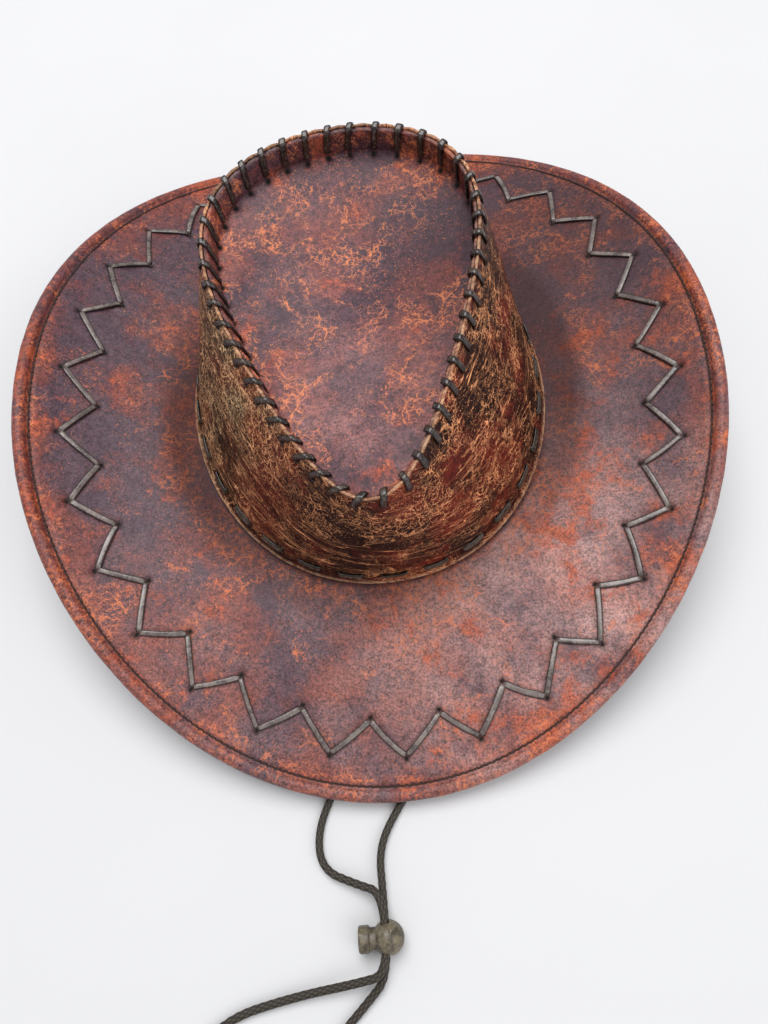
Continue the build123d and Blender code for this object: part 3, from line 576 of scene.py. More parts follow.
def distressed_leather(name, slate, plain, rust, vein, painted_sheen_tint, gloss=0.34, flowing=False):
    """Clouded slate and plain ground, a painted sheen, rubbed rust, branching veins and specks.

    The mesh says where by its attributes: rust, the painted sheen (a painted sky reflection in the
    fifth colour), crazing, painted shade (with some darker leather tone), the lace holes (painted near
    black, as painted shade) and raw edges. A flowing leather has light-toned arcs and wisps along the
    mesh's flow, and is bleached where dry says so.
    """
    s, where = begin(name)
    bias, shade = s.attribute("rust"), s.attribute("shade")
    hole, edge = s.attribute("hole"), s.attribute("edge")
    grain = s.noise(where, 380, 8, 0.78)
    speckle = s.minus(grain, 0.5)
    wavy = s.warped(where, 70, 0.014)
    cloud = s.plus(s.noise(wavy, 30, 9, 0.60), s.times(speckle, 0.20))
    ground = s.mix(s.between(s.plus(cloud, bias), 0.42, 0.60), slate, plain)
    # Painted sheen: a patchy tint, the fifth colour, laid where the mesh asks for it, in place of the sky's
    # reflection.
    haze = s.times(s.attribute("haze"), s.patches(where, 26, 7, 0.6, 0.30, 0.70))
    ground = s.mix(s.times(haze, 0.42), ground, painted_sheen_tint)
    worn = s.noise(s.warped(where, 45, 0.02), 58, 10, 0.70)
    level = s.plus(worn, s.times(s.noise(where, 15, 3, 0.5), 0.55))
    level = s.plus(s.plus(level, s.times(speckle, 0.40)), bias)
    rubbed = s.between(level, 0.83, 1.0)
    tone = s.mix(s.times(rubbed, 0.4 if flowing else 0.85), ground, rust)
    value = s.plus(s.times(s.between(grain, 0.38, 0.62), 0.58),
                   s.plus(s.times(s.patches(where, 1000, 2, 0.7, 0.38, 0.62), 0.66), 0.36))
    tone = s.add("ShaderNodeHueSaturation", {"Value": value, "Color": tone})
    veins = s.most(s.crackle(where, 60, 0.020, 44, 0.026), s.crackle(where, 150, 0.009, 130, 0.042))
    veins = s.most(veins, s.crackle(where, 320, 0.005, 300, 0.055))
    veined = s.between(s.plus(s.plus(s.noise(wavy, 30, 7, 0.68, 1.2), bias),
                              s.times(s.attribute("crazed"), 0.12)), 0.53, 0.63)
    veins = s.times(s.times(veins, veined), s.between(grain, 0.40, 0.54))
    specks = s.times(s.patches(where, 1300, 1, 0.5, 0.64, 0.72), s.patches(where, 50, 4, 0.6, 0.40, 0.60))
    veins = s.most(veins, s.times(specks, 0.8))
    tone = s.mix(s.times(veins, 0.9), tone, vein)
    relief = s.plus(s.times(grain, 0.7), s.times(s.noise(where, 210, 5, 0.6), 0.3))
    light = s.most(rubbed, veins)
    if flowing:
        dry = s.attribute("dry")
        tone = s.mix(s.times(dry, 0.9), tone, s.mix(s.between(cloud, 0.3, 0.6), DRY_DARK, DRY))
        arcs = s.contour(s.noise(s.flow(9.0, 90.0, 1.0), 1.0, 4, 0.62, 0.6), 0.0055)
        wisps = s.contour(s.noise(s.flow(70.0, 240.0, 1.0), 1.0, 5, 0.66, 1.0), 0.010)
        craze = s.most(s.crackle(where, 190, 0.010, 270, 0.040),
                       s.crackle(where, 90, 0.012, 90, 0.020))
        crazed = s.between(s.plus(s.noise(where, 40, 4, 0.6), s.times(dry, 0.12)), 0.47, 0.57)
        area = s.between(s.plus(s.noise(s.flow(16.0, 60.0, 1.0), 1.0, 4, 0.6),
                                s.times(s.plus(bias, dry), 0.12)), 0.42, 0.58)
        lines = s.most(s.times(wisps, area), s.times(craze, crazed))
        lines = s.times(lines, s.between(grain, 0.38, 0.50))
        lines = s.most(lines, s.times(arcs, s.between(grain, 0.36, 0.48)))
        tone = s.mix(lines, tone, s.mix(dry, vein, DRY_STREAK))
        light = s.most(light, lines)
    # Painted shade: where the mesh's shade attribute asks, the tone is darkened towards DEEP; below, the
    # same attribute makes the leather rougher so that less sheen shows there.
    tone = s.mix(shade, tone, s.mix(0.72, tone, DEEP))
    fibre = s.mix(s.between(grain, 0.40, 0.60), RAW_SHADOW, RAW_EDGE)
    tone = s.mix(edge, tone, fibre)
    # Painted shade: the lace holes, which the mesh doesn't cut, are painted near black.
    tone = s.mix(hole, tone, NEAR_BLACK)
    rough = s.plus(s.times(light, 0.14), s.plus(s.times(s.noise(where, 120, 4), 0.18), 0.30))
    rough = s.plus(rough, s.times(shade, 0.35))
    rough = s.most(rough, s.times(hole, 0.9))
    return s.finish(tone, rough, relief, 0.00045, **{"Specular IOR Level": gloss})


def lace_leather(name, dark, light, scuffed=0.45):
    """Flat lace: waxed, shiny and scuffed, dark along its two edges."""
    s, where = begin(name)
    tone = s.mix(s.patches(where, 130, 5, 0.65, 0.36, 0.62), dark, light)
    scuff = s.patches(where, 620, 5, 0.7, 0.50, 0.64)
    tone = s.mix(s.times(scuff, scuffed), tone, SCUFF)
    tone = s.mix(s.times(s.attribute("piece"), 0.35), tone, dark)
    tone = s.mix(s.times(s.attribute("border"), 0.85), tone, NEAR_BLACK)
    relief = s.plus(s.noise(where, 800, 5, 0.6), s.noise(where, 190, 3))
    return s.finish(tone, s.plus(s.times(scuff, 0.15), 0.20), relief, 0.0001)


def plain_leather(name, dark, light, roughness, grain=520):
    s, where = begin(name)
    tone = s.mix(s.patches(where, 40, 6, 0.6, 0.32, 0.68), dark, light)
    pores = s.crackle(where, 300, 0.002, grain, 0.12)
    tone = s.mix(s.times(pores, 0.4), tone, NEAR_BLACK)
    relief = s.minus(s.noise(where, 700, 5, 0.65), s.times(pores, 0.5))
    rough = s.plus(s.times(s.noise(where, 90, 4), 0.16), roughness - 0.08)
    return s.finish(tone, rough, relief, 0.0004)


def spun_thread(name, dark, light):
    s, where = begin(name)
    tone = s.mix(s.noise(where, 900, 4, 0.6), dark, light)
    relief = s.add("ShaderNodeTexWave", {"Vector": where, "Scale": 900.0, "Distortion": 3.0})
    return s.finish(tone, 0.55, relief, 0.0001)


def worn_plastic(name, dark, light):
    """Scuffed, slightly cloudy plastic."""
    s, where = begin(name)
    tone = s.mix(s.patches(where, 260, 6, 0.7, 0.35, 0.65), dark, light)
    scratch = s.between(s.noise(s.warped(where, 200, 0.004), 900, 6, 0.75), 0.56, 0.66)
    tone = s.mix(s.times(scratch, 0.6), tone, colour(184, 170, 140))
    rough = s.plus(s.times(scratch, 0.2), 0.40)
    relief = s.minus(s.noise(where, 420, 5), s.times(scratch, 0.3))
    return s.finish(tone, rough, relief, 0.00025)


def drawn_metal(name, dark, light, roughness):
    s, where = begin(name)
    tone = s.mix(s.noise(where, 800, 4, 0.6), dark, light)
    rough = s.plus(s.times(s.noise(where, 500, 3), 0.2), roughness)
    return s.finish(tone, rough, s.noise(where, 1200, 3), 0.0001, Metallic=1.0)


def braided(name, dark, light):
    """Braid: the fibres' sheen lies over the strands that the mesh has."""
    s, where = begin(name)
    tone = s.mix(s.noise(where, 1500, 3, 0.6), dark, light)
    # Painted shade: the gaps between the strands are painted near black.
    tone = s.mix(s.between(s.attribute("strand"), 0.35, 0.85), BRAID_GAP_SHADE, tone)
    fibres = s.noise(s.flow(4.0, 2600.0, 1.0), 1.0, 3, 0.6)
    return s.finish(tone, 0.62, fibres, 0.00015, **{"Sheen Weight": 0.05})


# The fifth colour of each leather is the tint of its painted sheen.
BRIM = distressed_leather("brim leather", colour(74, 53, 63), colour(108, 54, 49),
                          colour(158, 74, 46), colour(214, 118, 72), colour(206, 160, 150))
CROWN = distressed_leather("crown leather", colour(34, 14, 11), colour(96, 30, 22),
                           colour(124, 44, 28), colour(255, 176, 122), colour(132, 80, 62),
                           gloss=0.14, flowing=True)
TOP = distressed_leather("crown top leather", colour(60, 36, 50), colour(106, 50, 48),
                         colour(158, 72, 46), colour(230, 134, 84), colour(206, 146, 138))
LINING = plain_leather("lining leather", colour(58, 38, 30), colour(84, 58, 44), 0.78)
BAND = plain_leather("sweatband leather", colour(78, 50, 34), colour(108, 74, 50), 0.5, 620)
LACE = lace_leather("zigzag lace leather", colour(74, 64, 61), colour(126, 113, 108))
WHIP = lace_leather("whip lace leather", colour(28, 19, 16), colour(60, 44, 36), 0.25)
BASE = lace_leather("base lace leather", colour(46, 40, 33), colour(86, 78, 66), 0.3)
THREAD = spun_thread("thread", colour(34, 22, 18), colour(66, 42, 34))
PLASTIC = worn_plastic("lock plastic", colour(56, 49, 38), colour(112, 102, 82))
STEEL = drawn_metal("wire steel", (0.35, 0.35, 0.36, 1), (0.62, 0.62, 0.63, 1), 0.3)
CORD = braided("cord braid", colour(36, 29, 20), colour(82, 69, 48))


# ---------- holes, dimples and stitches
# Widths of the holes, of the brim's and the foot lace's dimples, and of the swell round each of these.
HOLE_RADIUS, BRIM_DIMPLE, FOOT_DIMPLE, HOLE_SWELL = 1.6, 1.9, 1.8, 4.5


def dimples(points, holes, width):
    """Nearness of grid points to the holes: 1 at a hole's middle, falling off over the width."""
    total = np.zeros(points.shape[:-1])
    for hole in holes:
        near = np.abs(points - hole).max(-1) < 3 * width
        total[near] = np.maximum(total[near], bell(np.linalg.norm(points[near] - hole, axis=-1), width))
    return total


def painted_hole_mask(points, holes):
    """Painted shade of the lace holes, which the mesh doesn't cut: 1 inside the holes, 0 outside, with a
    soft rim.
    """
    return np.clip(2.6 * dimples(points, holes, HOLE_RADIUS) - 0.9, 0, 1)


def zigzag_corners(beyond=0.0):
    """Skin places (angle, share) of the zigzag's points, moved out of its band by a distance."""
    angles = zigzag_angles()
    inner = np.arange(2 * ZIGZAG_COUNT) % 2 == 1
    insets = np.where(inner, ZIGZAG_INNER_INSET + beyond, ZIGZAG_OUTER_INSET - beyond)
    return np.stack([angles, inset_share(angles, insets)], -1)


def zigzag_pairs():
    """Skin places of the two ends of each zigzag strip."""
    first = zigzag_corners()
    second = np.roll(first, -1, 0)
    second[:, 0] = first[:, 0] + (second[:, 0] - first[:, 0]) % FULL_TURN
    length = np.linalg.norm(brim(*second.T) - brim(*first.T), axis=-1)
    step = (second - first) * wide(ZIGZAG_END_GAP / length)
    return first + step, second - step


def whip_places():
    return evenly(ridge, WHIP_COUNT)


def base_lace_pairs():
    """Wall places of the two ends of each strip around the crown's foot."""
    angles = evenly(lambda a: wall_at(a, BASE_LACE_HEIGHT), BASE_LACE_COUNT, start=0.5)
    following = angles + (np.roll(angles, -1) - angles) % FULL_TURN
    share = np.full(BASE_LACE_COUNT, BASE_LACE_HEIGHT / WALL_HEIGHT)
    return [np.stack([a, share], -1) for a in (angles, mix(angles, following, BASE_LACE_SHARE))]


# ---------- brim leather and lining
STITCH_PITCH, STITCH_SLANT, STITCH_SINK, EDGE_THREAD = 3.2, 0.5, 0.55, 0.84
BRIM_COLUMNS, LINING_COLUMNS = 1260, 720
SEAM_PUFF, SEAM_PUFF_WIDTH = 0.5, 1.5
BRIM_ROWS = np.concatenate([np.linspace(1, 0.07, 84), np.linspace(0.064, 0, 13)])


def circle_of(count):
    return np.arange(count) * FULL_TURN / count


def metres_along(grid, around=1.15):
    """Plain flow coordinates, in metres, for a grid of points."""
    rows, columns = grid.shape[:2]
    return np.meshgrid(np.linspace(0, around, columns + 1), np.linspace(0, 0.1, rows))


def blank_looks(grid, names):
    """A field of zeros over a grid of points for each attribute that a leather reads."""
    return SimpleNamespace(**{name: np.zeros(grid.shape[:2]) for name in names.split()})


def seam_beat(angle, curve):
    """1 in the middle of each thread stitch, 0 at its ends, along a loop."""
    reach = reach_along(curve)
    count = round(reach[-1] / STITCH_PITCH)
    return 0.5 - 0.5 * np.cos(np.interp(angle, FINE, reach) / reach[-1] * count * FULL_TURN)


def make_brim_leather():
    angle = circle_of(BRIM_COLUMNS)
    beat = seam_beat(angle, groove)
    holes = brim(*zigzag_corners(ZIGZAG_HOLE_BEYOND).T)
    collar = [wall_at(angle, height, -SECOND_SKIN) for height in (COLLAR_HEIGHT, 10, 6, 3, 0.6)]
    bend = rows_along(bend_skin, angle, (0.98, 0.8, 0.6, 0.4, 0.2, 0.05))

    share, around = np.meshgrid(BRIM_ROWS, angle, indexing="ij")
    face = brim_skin(around, share)
    away, foot_away = share * brim_reach(angle), (1 - share) * brim_reach(angle)
    near_hole = dimples(face, holes, BRIM_DIMPLE)
    pressed = near_lines(face, *[brim(*ends.T) for ends in zigzag_pairs()], BRIM_DIMPLE)
    lift = SEAM_PUFF * (1 - bell(away, SEAM_PUFF_WIDTH)) * bell(away, 9.0)
    lift += np.clip(6 * (1 - share), 0, 1) * (0.16 * ripple(face, 5, 17) + 0.06 * ripple(face, 6, 6))
    lift += 0.35 * dimples(face, holes, HOLE_SWELL) - 1.4 * near_hole - 0.25 * pressed
    lift -= 0.10 * bell(away, 1.2) * (1 - beat)
    painted_hole_shade = painted_hole_mask(face, holes)
    face = face + normal_of(brim_skin, around, share) * wide(lift)

    middle, outward, normal = roll_frame(angle)
    uneven = 0.10 * ripple(middle, 8, 14) + 0.07 * (beat - 0.5)
    turns = np.radians(np.linspace(150, -152, 29))

    def round_roll(turn, radius):
        return middle + (outward * math.cos(turn) + normal * math.sin(turn)) * wide(radius)

    roll = [round_roll(turn, ROLL_RADIUS + uneven * (1 - abs(turn) / 5)) for turn in turns]
    inner = [round_roll(turn, ROLL_RADIUS - LEATHER) for turn in turns[::-4]]
    inner += rows_along(brim_skin, angle, np.linspace(0, 1, 14), -LEATHER)
    inner += rows_along(bend_skin, angle, (0.2, 0.6, 0.98), -LEATHER)
    inner += [wall_at(angle, height, -SECOND_SKIN - LEATHER) for height in (0.6, 6, COLLAR_HEIGHT)]
    grid = np.stack(collar + bend + list(face) + roll + inner)

    top = slice(len(collar + bend), len(collar + bend) + len(face))
    look = blank_looks(grid, "rust shade hole edge haze crazed")
    look.rust[top] = (0.03 * np.clip(-np.sin(angle), 0, 1) - 0.02 + 0.07 * bell(away, 7)
                      + 0.07 * near_angle(angle, 205, 40) * bell(foot_away - 14, 12)
                      - 0.02 * near_angle(angle, 40, 40))
    look.rust[top.stop:top.stop + len(roll)] = 0.06
    # Painted sheen: a painted sky reflection over the brim, strongest at the front right and weaker at the
    # front left.
    look.haze[top.start:] = 1.4 * near_angle(angle, 306, 36) + 0.3 * near_angle(angle, 235, 40)
    look.crazed[top] = bell(np.maximum(foot_away - 8, 0), 12) * (0.3 + 0.7 * near_angle(angle, 205, 60))
    look.crazed[top] += 0.8 * near_angle(angle, 42, 30)
    look.hole[top] = painted_hole_shade
    # Painted shade: the collar behind the wall is painted dark, and so is the bend, fading a little towards
    # the brim.
    look.shade[:len(collar)] = 1
    look.shade[len(collar):top.start] = np.linspace(1, 0.7, len(bend))[:, None]
    # Painted shade on the brim: the crown's shade in a ring beside its foot, strongest at the left and the
    # right and darkest close to the foot at the left; shade in the crease at the foot, in the dimples round
    # the holes, in the edge groove and along the pressed laces; a light painted shade over the right side.
    # The darker brown at the right back is the leather's own tone.
    crown_shade_ring = 0.20 + 0.80 * near_angle(angle, 192, 50) + 0.70 * near_angle(angle, 0, 55)
    look.shade[top] = (0.7 * bell(foot_away, 0.9) + 0.45 * near_hole + 0.4 * bell(away, 0.9) + 0.40 * pressed
                       + crown_shade_ring * bell(np.maximum(foot_away - 9, 0), 11)
                       + 0.35 * near_angle(angle, 195, 50) * bell(foot_away, 8)
                       + 0.72 * near_angle(angle, 40, 34) + 0.20 * near_angle(angle, 350, 30))
    obj = ring_object("brim_leather", grid, metres_along(grid), **vars(look))
    finish_piece(obj, BRIM, "brim_top_leather")


def make_brim_lining():
    angle = circle_of(LINING_COLUMNS)
    under = -SECOND_SKIN - UNDER_LEATHER
    holes = brim(*zigzag_corners(ZIGZAG_HOLE_BEYOND).T, under)
    above = rows_along(bend_skin, angle, (0.4, 0.2, 0.05), -SECOND_SKIN)
    above += rows_along(brim_skin, angle, np.linspace(0.98, 0, 10), -SECOND_SKIN)
    share, around = np.meshgrid(np.linspace(0, 0.98, 90), angle, indexing="ij")
    below = brim(around, share, under)
    away = share * brim_reach(angle)
    lift = 0.8 * dimples(below, holes, 1.7) - 0.35 * (1 - bell(away, 1.6)) * bell(away, 9)
    lift -= 0.12 * ripple(below, 15, 16)
    below = below + normal_of(brim_skin, around, share) * wide(lift)
    grid = np.stack(above + list(below) + rows_along(bend_skin, angle, (0.05, 0.2, 0.4), under))
    obj = ring_object("brim_lining", grid, metres_along(grid))
    finish_piece(obj, LINING, "brim_under_leather")


def stitch_row(name, place, loop, radius, skip=()):
    """Thread stitches along a loop; place(angle, across, lift) is a point of the sewn line."""
    reach = reach_along(loop)
    count = round(reach[-1] / STITCH_PITCH)
    ends = np.interp(np.arange(count + 1) / count * reach[-1], reach, FINE)
    part = np.linspace(0.03, 0.97, 9)
    angle = ends[:-1, None] + np.diff(ends)[:, None] * part
    lift = radius * 0.7 - STITCH_SINK * np.abs(2 * part - 1) ** 5 + 0 * angle
    across = STITCH_SLANT * (part - 0.5) + 0 * angle
    path = place(angle, across, lift)
    normals = place(angle, across, lift + 0.1) - path
    parts = [strap(path[k], normals[k], 2 * radius, 2 * radius, ROUND_SECTION, closed=False)
             for k in range(count) if not any(low < math.degrees(ends[k]) < high for low, high in skip)]
    return group_object(name, parts, ROUND_SECTION)


def edge_seam(side):
    def place(angle, across, lift):
        middle, outward, normal = roll_frame(angle)
        return (middle - outward * wide(ROLL_RADIUS + GROOVE_LAND + across)
                + normal * wide(side * (BRIM_PLY / 2 + lift) - GROOVE_DEPTH))
    return place


def make_edge_stitches():
    for side, part in ((1, "top"), (-1, "under")):
        row = stitch_row("edge_stitches_" + part, edge_seam(side), groove, EDGE_THREAD / 2)
        finish_piece(row, THREAD, "edge_thread_" + part)


# ---------- laces
LACE_CORNER = 1.1            # radius at which a strip turns down into its holes
# Spread of a strip's place in millimetres, of its tilt in degrees and of its share of the width.
LACE_DRIFT, LACE_TILT, LACE_SPREAD = 0.22, 5, 0.05


def laced_strap(skin, ends, low, high, rng, width, thickness, bow, length=None):
    """Closed strip through two holes of a skin, from under it at low to over it at high."""
    first, second = ends
    span = skin(*second, 0.0) - skin(*first, 0.0)
    length = length or np.linalg.norm(span)
    side = np.cross(skin(*first, 1.0) - skin(*first, 0.0), unit(span))
    path = oval_path(length, high - low, min(LACE_CORNER, (high - low) / 2 - 0.01))
    outward = unit(ways_round(path)[:, ::-1] * [-1, 1])
    swell = bow * np.clip(path[:, 1] / path[:, 1].max(), 0, 1) * np.cos(path[:, 0] / length * math.pi)
    drift = rng.normal(0, LACE_DRIFT)

    def at(places):
        skin_places = first + (second - first) * wide(places[:, 0] / length + 0.5)
        points = skin(skin_places[:, 0], skin_places[:, 1], places[:, 1] + (low + high) / 2)
        return points + side * wide(drift * np.cos(places[:, 0] / length * math.pi))

    shaped = path + np.stack([0 * swell, swell], -1)
    points = at(shaped)
    normals = at(shaped + outward * 0.05) - points
    tilt = math.radians(rng.normal(0, LACE_TILT))
    normals = unit(normals) * math.cos(tilt) + side * math.sin(tilt)
    spread = 1 + rng.normal(0, LACE_SPREAD)
    widths = width * (spread + LACE_SPREAD * np.sin(np.arange(len(path)) * 0.7 + rng.uniform(0, 6)))
    return strap(points, normals, widths, thickness)


LACE_REST = 0.12             # room between a lace and the leather that it lies on
LACE_LIFT = LACE_THICKNESS / 2 + LACE_REST


def make_lace(name, skin, pairs, seed, ply, width, bow, material, node):
    """Strips through pairs of holes, over the skin and back under all that is ply thick."""
    rng = np.random.default_rng(seed)
    parts = [laced_strap(skin, ends, -ply - LACE_LIFT, LACE_LIFT, rng, width, LACE_THICKNESS, bow)
             for ends in zip(*pairs)]
    finish_piece(group_object(name, parts), material, node)


BASE_LACE_WIDTH, WHIP_WIDTH = 4.0, 2.8
ZIGZAG_BOW, BASE_BOW, SEAM_BOW = 0.3, 0.15, 0.1     # how far a strip's middle stands off
# How far the inner hole of a whip stitch lies along the ridge from its outer hole, by angle.
WHIP_SLANT = {-60: 3, -30: 4, 0: 3, 12: 0, 25: -4.5, 45: -2.5, 62: 0, 80: 3, 100: 3.5, 125: 4.5, 150: 7,
              175: 8.5, 215: 9.5, 240: 8, 262: 4, 300: 3}


def whip_slant(angle):
    return np.interp((np.degrees(angle) + 60) % 360 - 60, list(WHIP_SLANT), list(WHIP_SLANT.values()))


WHIP_CORNER = 1.3
WHIP_INNER_EXTRA = 2.3       # how much deeper than the outer hole the inner hole lies
WHIP_INNER_HOLE = 0.66       # its share of the way round the turn under the flange
WHIP_TALL = WHIP_DEPTH + LACE_CLEARANCE + LACE_THICKNESS / 2
WHIP_ACROSS = WALL_PLY + 2 * LACE_LIFT
WHIP_ROUND = 2 * WHIP_TALL + WHIP_ACROSS


def whip_way(x, y):
    """Share of the way from the outer hole over the ridge to the inner hole, and back below."""
    x, y = x - x.min(), y - y.min()
    across, tall = x.max(), y.max()
    total = 2 * tall + across
    way = np.where(x < WHIP_CORNER, y, np.where(x > across - WHIP_CORNER, total - y, tall + x)) / total
    return np.where(y < WHIP_CORNER, x / across, way)


def whip_beat(angle, way):
    """1 where a whip strap lies, -1 halfway between two, at a share of a strap's way."""
    reach = reach_along(ridge)
    place = np.interp(angle, FINE, reach) - whip_slant(angle) * way
    return np.cos(place / reach[-1] * WHIP_COUNT * FULL_TURN)


def make_whip_lace():
    rng = np.random.default_rng(23)
    outer, inner = LACE_LIFT, -WALL_PLY - LACE_LIFT
    over, hole = LACE_CLEARANCE + LACE_THICKNESS / 2, -WHIP_DEPTH
    parts = []
    path = oval_path(outer - inner, over - hole, WHIP_CORNER)
    way = whip_way(*path.T)
    lift, height = (inner + outer) / 2 - path[:, 0], (over + hole) / 2 + path[:, 1]
    inward = np.clip(path[:, 0] / path[:, 0].max(), -1, 1) * 0.5 + 0.5
    height = height - WHIP_INNER_EXTRA * inward * (height.max() - height) / (height.max() - height.min())
    lift = lift - 0.25 * inward
    for angle in whip_places():
        shift = (whip_slant(angle) + rng.normal(0, 0.3)) * way + rng.normal(0, 0.15)
        place = angle + shift / radian_length(ridge, angle)
        points = wall_at(place, WALL_HEIGHT + height, lift)
        points = leaned(points, flange_lean(place) * inward * np.clip(-height, 0, FLANGE_HEIGHT))
        middle = wall_at(place, WALL_HEIGHT + (over + hole) / 2, (outer + inner) / 2)
        sideways = unit(wall(place + STEP, 0.9) - wall(place, 0.9))
        normals = unit(np.cross(unit(ways_round(points)), sideways))
        normals = normals * wide(np.sign((normals * (points - middle)).sum(-1)))
        parts.append(strap(points, normals, WHIP_WIDTH * (1 + rng.normal(0, LACE_SPREAD)), LACE_THICKNESS))
    finish_piece(group_object("whip_lace", parts), WHIP, "ridge_whip_lace")


# ---------- crown leathers
CROWN_COLUMNS = 1100
STREAK_START = math.radians(225)         # where the length along the wall is counted from
# Slope of the leather's streaks along the wall, in degrees from level, by angle.
STREAK_SLOPE = {0: -12, 60: -6, 120: 0, 170: 4, 205: -4, 228: -6, 262: -6, 300: -14, 340: -14, 360: -12}


def wall_flow(angle, height):
    """Flow coordinates in metres with u along the streaks, for angles (one more than columns)."""
    reach = reach_along(lambda a: wall(a, 0.5))
    centred = (angle - STREAK_START + math.pi) % FULL_TURN - math.pi
    along = np.interp(angle % FULL_TURN, FINE, reach) - np.interp(STREAK_START, FINE, reach)
    along = np.where(centred > 0, along % reach[-1], -(-along % reach[-1]))
    slope = np.radians(np.interp(np.degrees(angle) % 360, list(STREAK_SLOPE), list(STREAK_SLOPE.values())))
    along, slope, height = along[None, :] * MM, slope[None, :], height[:, None] * MM
    return (along * np.cos(slope) + height * np.sin(slope),
            height * np.cos(slope) - along * np.sin(slope))


# Soft creases in the wall: angle in degrees and height of both ends, and the depth.
CREASES = [((214, 22), (238, 9), 1.0), ((206, 40), (222, 18), 0.8), ((248, 46), (292, 50), 0.7),
           ((262, 26), (300, 20), 0.6), ((318, 60), (338, 36), 0.8), ((20, 50), (50, 38), 0.7),
           ((150, 52), (176, 40), 0.6), ((60, 30), (84, 46), 0.6)]


def crease_lift(points):
    """Shallow folds in the crown's leather, each with a soft swell beside it."""
    total = np.zeros(points.shape[:-1])
    for (first, low), (second, high), depth in CREASES:
        away = line_distance(points, wall_at(math.radians(first), low), wall_at(math.radians(second), high))
        total += depth * (0.5 * bell(away, 9) - bell(away, 2.6))
    return total


FLARE = 1.5                  # how far the wall's cut lower edge stands out over the brim
SCALLOP = 0.35               # how far the whip lace draws the ridge's edge down
BACK_RADIUS = 90.0           # of the wall beside the back seam


def make_crown_wall():
    angle = circle_of(CROWN_COLUMNS)
    whip_holes = wall_at(whip_places(), WALL_HEIGHT - WHIP_DEPTH)
    base_holes = np.concatenate([wall(*ends.T) for ends in base_lace_pairs()])
    height = np.concatenate([np.linspace(-1.2, 12, 20), np.linspace(12.9, WALL_HEIGHT - 10, 66),
                             np.linspace(WALL_HEIGHT - 9.4, WALL_HEIGHT - 0.15, 16)])
    share, around = np.meshgrid(height / WALL_HEIGHT, angle, indexing="ij")
    scallop = SCALLOP * whip_beat(angle, 0.5)
    face_share = share - scallop * bell(1 - share, 0.035) / WALL_HEIGHT
    face = wall_skin(around, face_share)
    near_whip, near_base = dimples(face, whip_holes, HOLE_RADIUS), dimples(face, base_holes, FOOT_DIMPLE)
    painted_hole_shade = painted_hole_mask(face, np.concatenate([whip_holes, base_holes]))
    behind = np.abs((angle - BACK + math.pi) % FULL_TURN - math.pi) * BACK_RADIUS
    lift = 0.35 * ripple(face, 31, 30) + 0.12 * ripple(face, 32, 9)
    lift = lift * np.clip(share * 6, 0, 1) * np.clip((1 - share) * 6, 0, 1) + crease_lift(face)
    lift = lift - 1.2 * near_whip - 0.9 * near_base + 0.3 * dimples(face, base_holes, HOLE_SWELL)
    height = height[:, None]
    depth = np.clip(WALL_HEIGHT - height, 0, WHIP_TALL)
    lift -= 0.35 * whip_beat(around, (WHIP_TALL - depth) / WHIP_ROUND) * bell(depth - 3, 3)
    lift += FLARE * bell(height + 1.2, 1.9) - 0.5 * bell(height - BASE_LACE_HEIGHT, 2.4)
    lift -= 0.9 * bell(behind, 0.5) + 0.25 * bell(behind, 3.0)
    face = face + normal_of(wall_skin, around, face_share) * wide(lift)
    foot = [wall_at(angle, -1.6, FLARE - deep) for deep in (1.25, 0.8, 0.3)]
    top = [wall_at(angle, WALL_HEIGHT - scallop + 0.12, -deep) for deep in (0.25, 0.65, 1.1)]
    inner = rows_along(wall_skin, angle, np.linspace(0.995, 0.0, 18), -LEATHER)
    grid = np.stack(foot + list(face) + top + inner)

    outer = slice(len(foot), len(foot) + len(face))
    look = blank_looks(grid, "rust shade hole edge dry")
    look.dry[outer] = np.clip(near_angle(angle, 188, 30) * (0.75 + 0.35 * ripple(face, 34, 26)), 0, 1)
    look.rust[outer] = 0.04 * bell(1 - share, 0.10) - 0.03
    # Painted shade in the dimples round the whip and foot lace holes and in a dark line just above the
    # flared foot; the front left is darker too.
    look.shade[outer] = (0.35 * near_angle(angle, 232, 26) + 0.5 * near_whip + 0.4 * near_base
                         + 0.5 * bell(height - 2.5, 2.2))
    look.hole[outer] = painted_hole_shade
    look.edge[:outer.start] = 1
    look.edge[outer.start:outer.start + 3] = [[1.0], [0.6], [0.15]]
    raw = 0.65 - 0.30 * near_angle(angle, 90, 50)
    look.edge[outer.stop:outer.stop + len(top)] = raw
    look.edge[outer.stop - 1] = np.maximum(raw, 0.6)
    heights = np.concatenate([np.full(len(foot), -0.3), height[:, 0], np.full(len(top), WALL_HEIGHT),
                              np.linspace(WALL_HEIGHT, 0, len(inner))])
    flow = wall_flow(np.append(angle, FULL_TURN), heights)
    obj = ring_object("crown_wall_leather", grid, flow, **vars(look))
    finish_piece(obj, CROWN, "crown_wall")


TOP_COLUMNS = 960
DISH_ROWS, TURN_ROWS = np.linspace(0.975, 0.01, 64), np.linspace(0.95, 0.05, 6)
FLANGE_ROWS = np.linspace(0.99, 0.02, 12)
BELOW_LACE = 12.0            # a depth under the ridge that the whip lace doesn't mark
INNER_PLY_DROP = 0.6         # how much lower the inner ply's rim lies than the outer ply's


def flange_lean(angle):
    """How far the top panel's flange runs inward for each millimetre down."""
    return 0.25 + 0.45 * near_angle(angle, 165, 75)


def leaned(points, amount):
    """Points moved level towards the dish's middle."""
    return points + unit((dish_middle() - points) * LEVEL) * wide(amount)


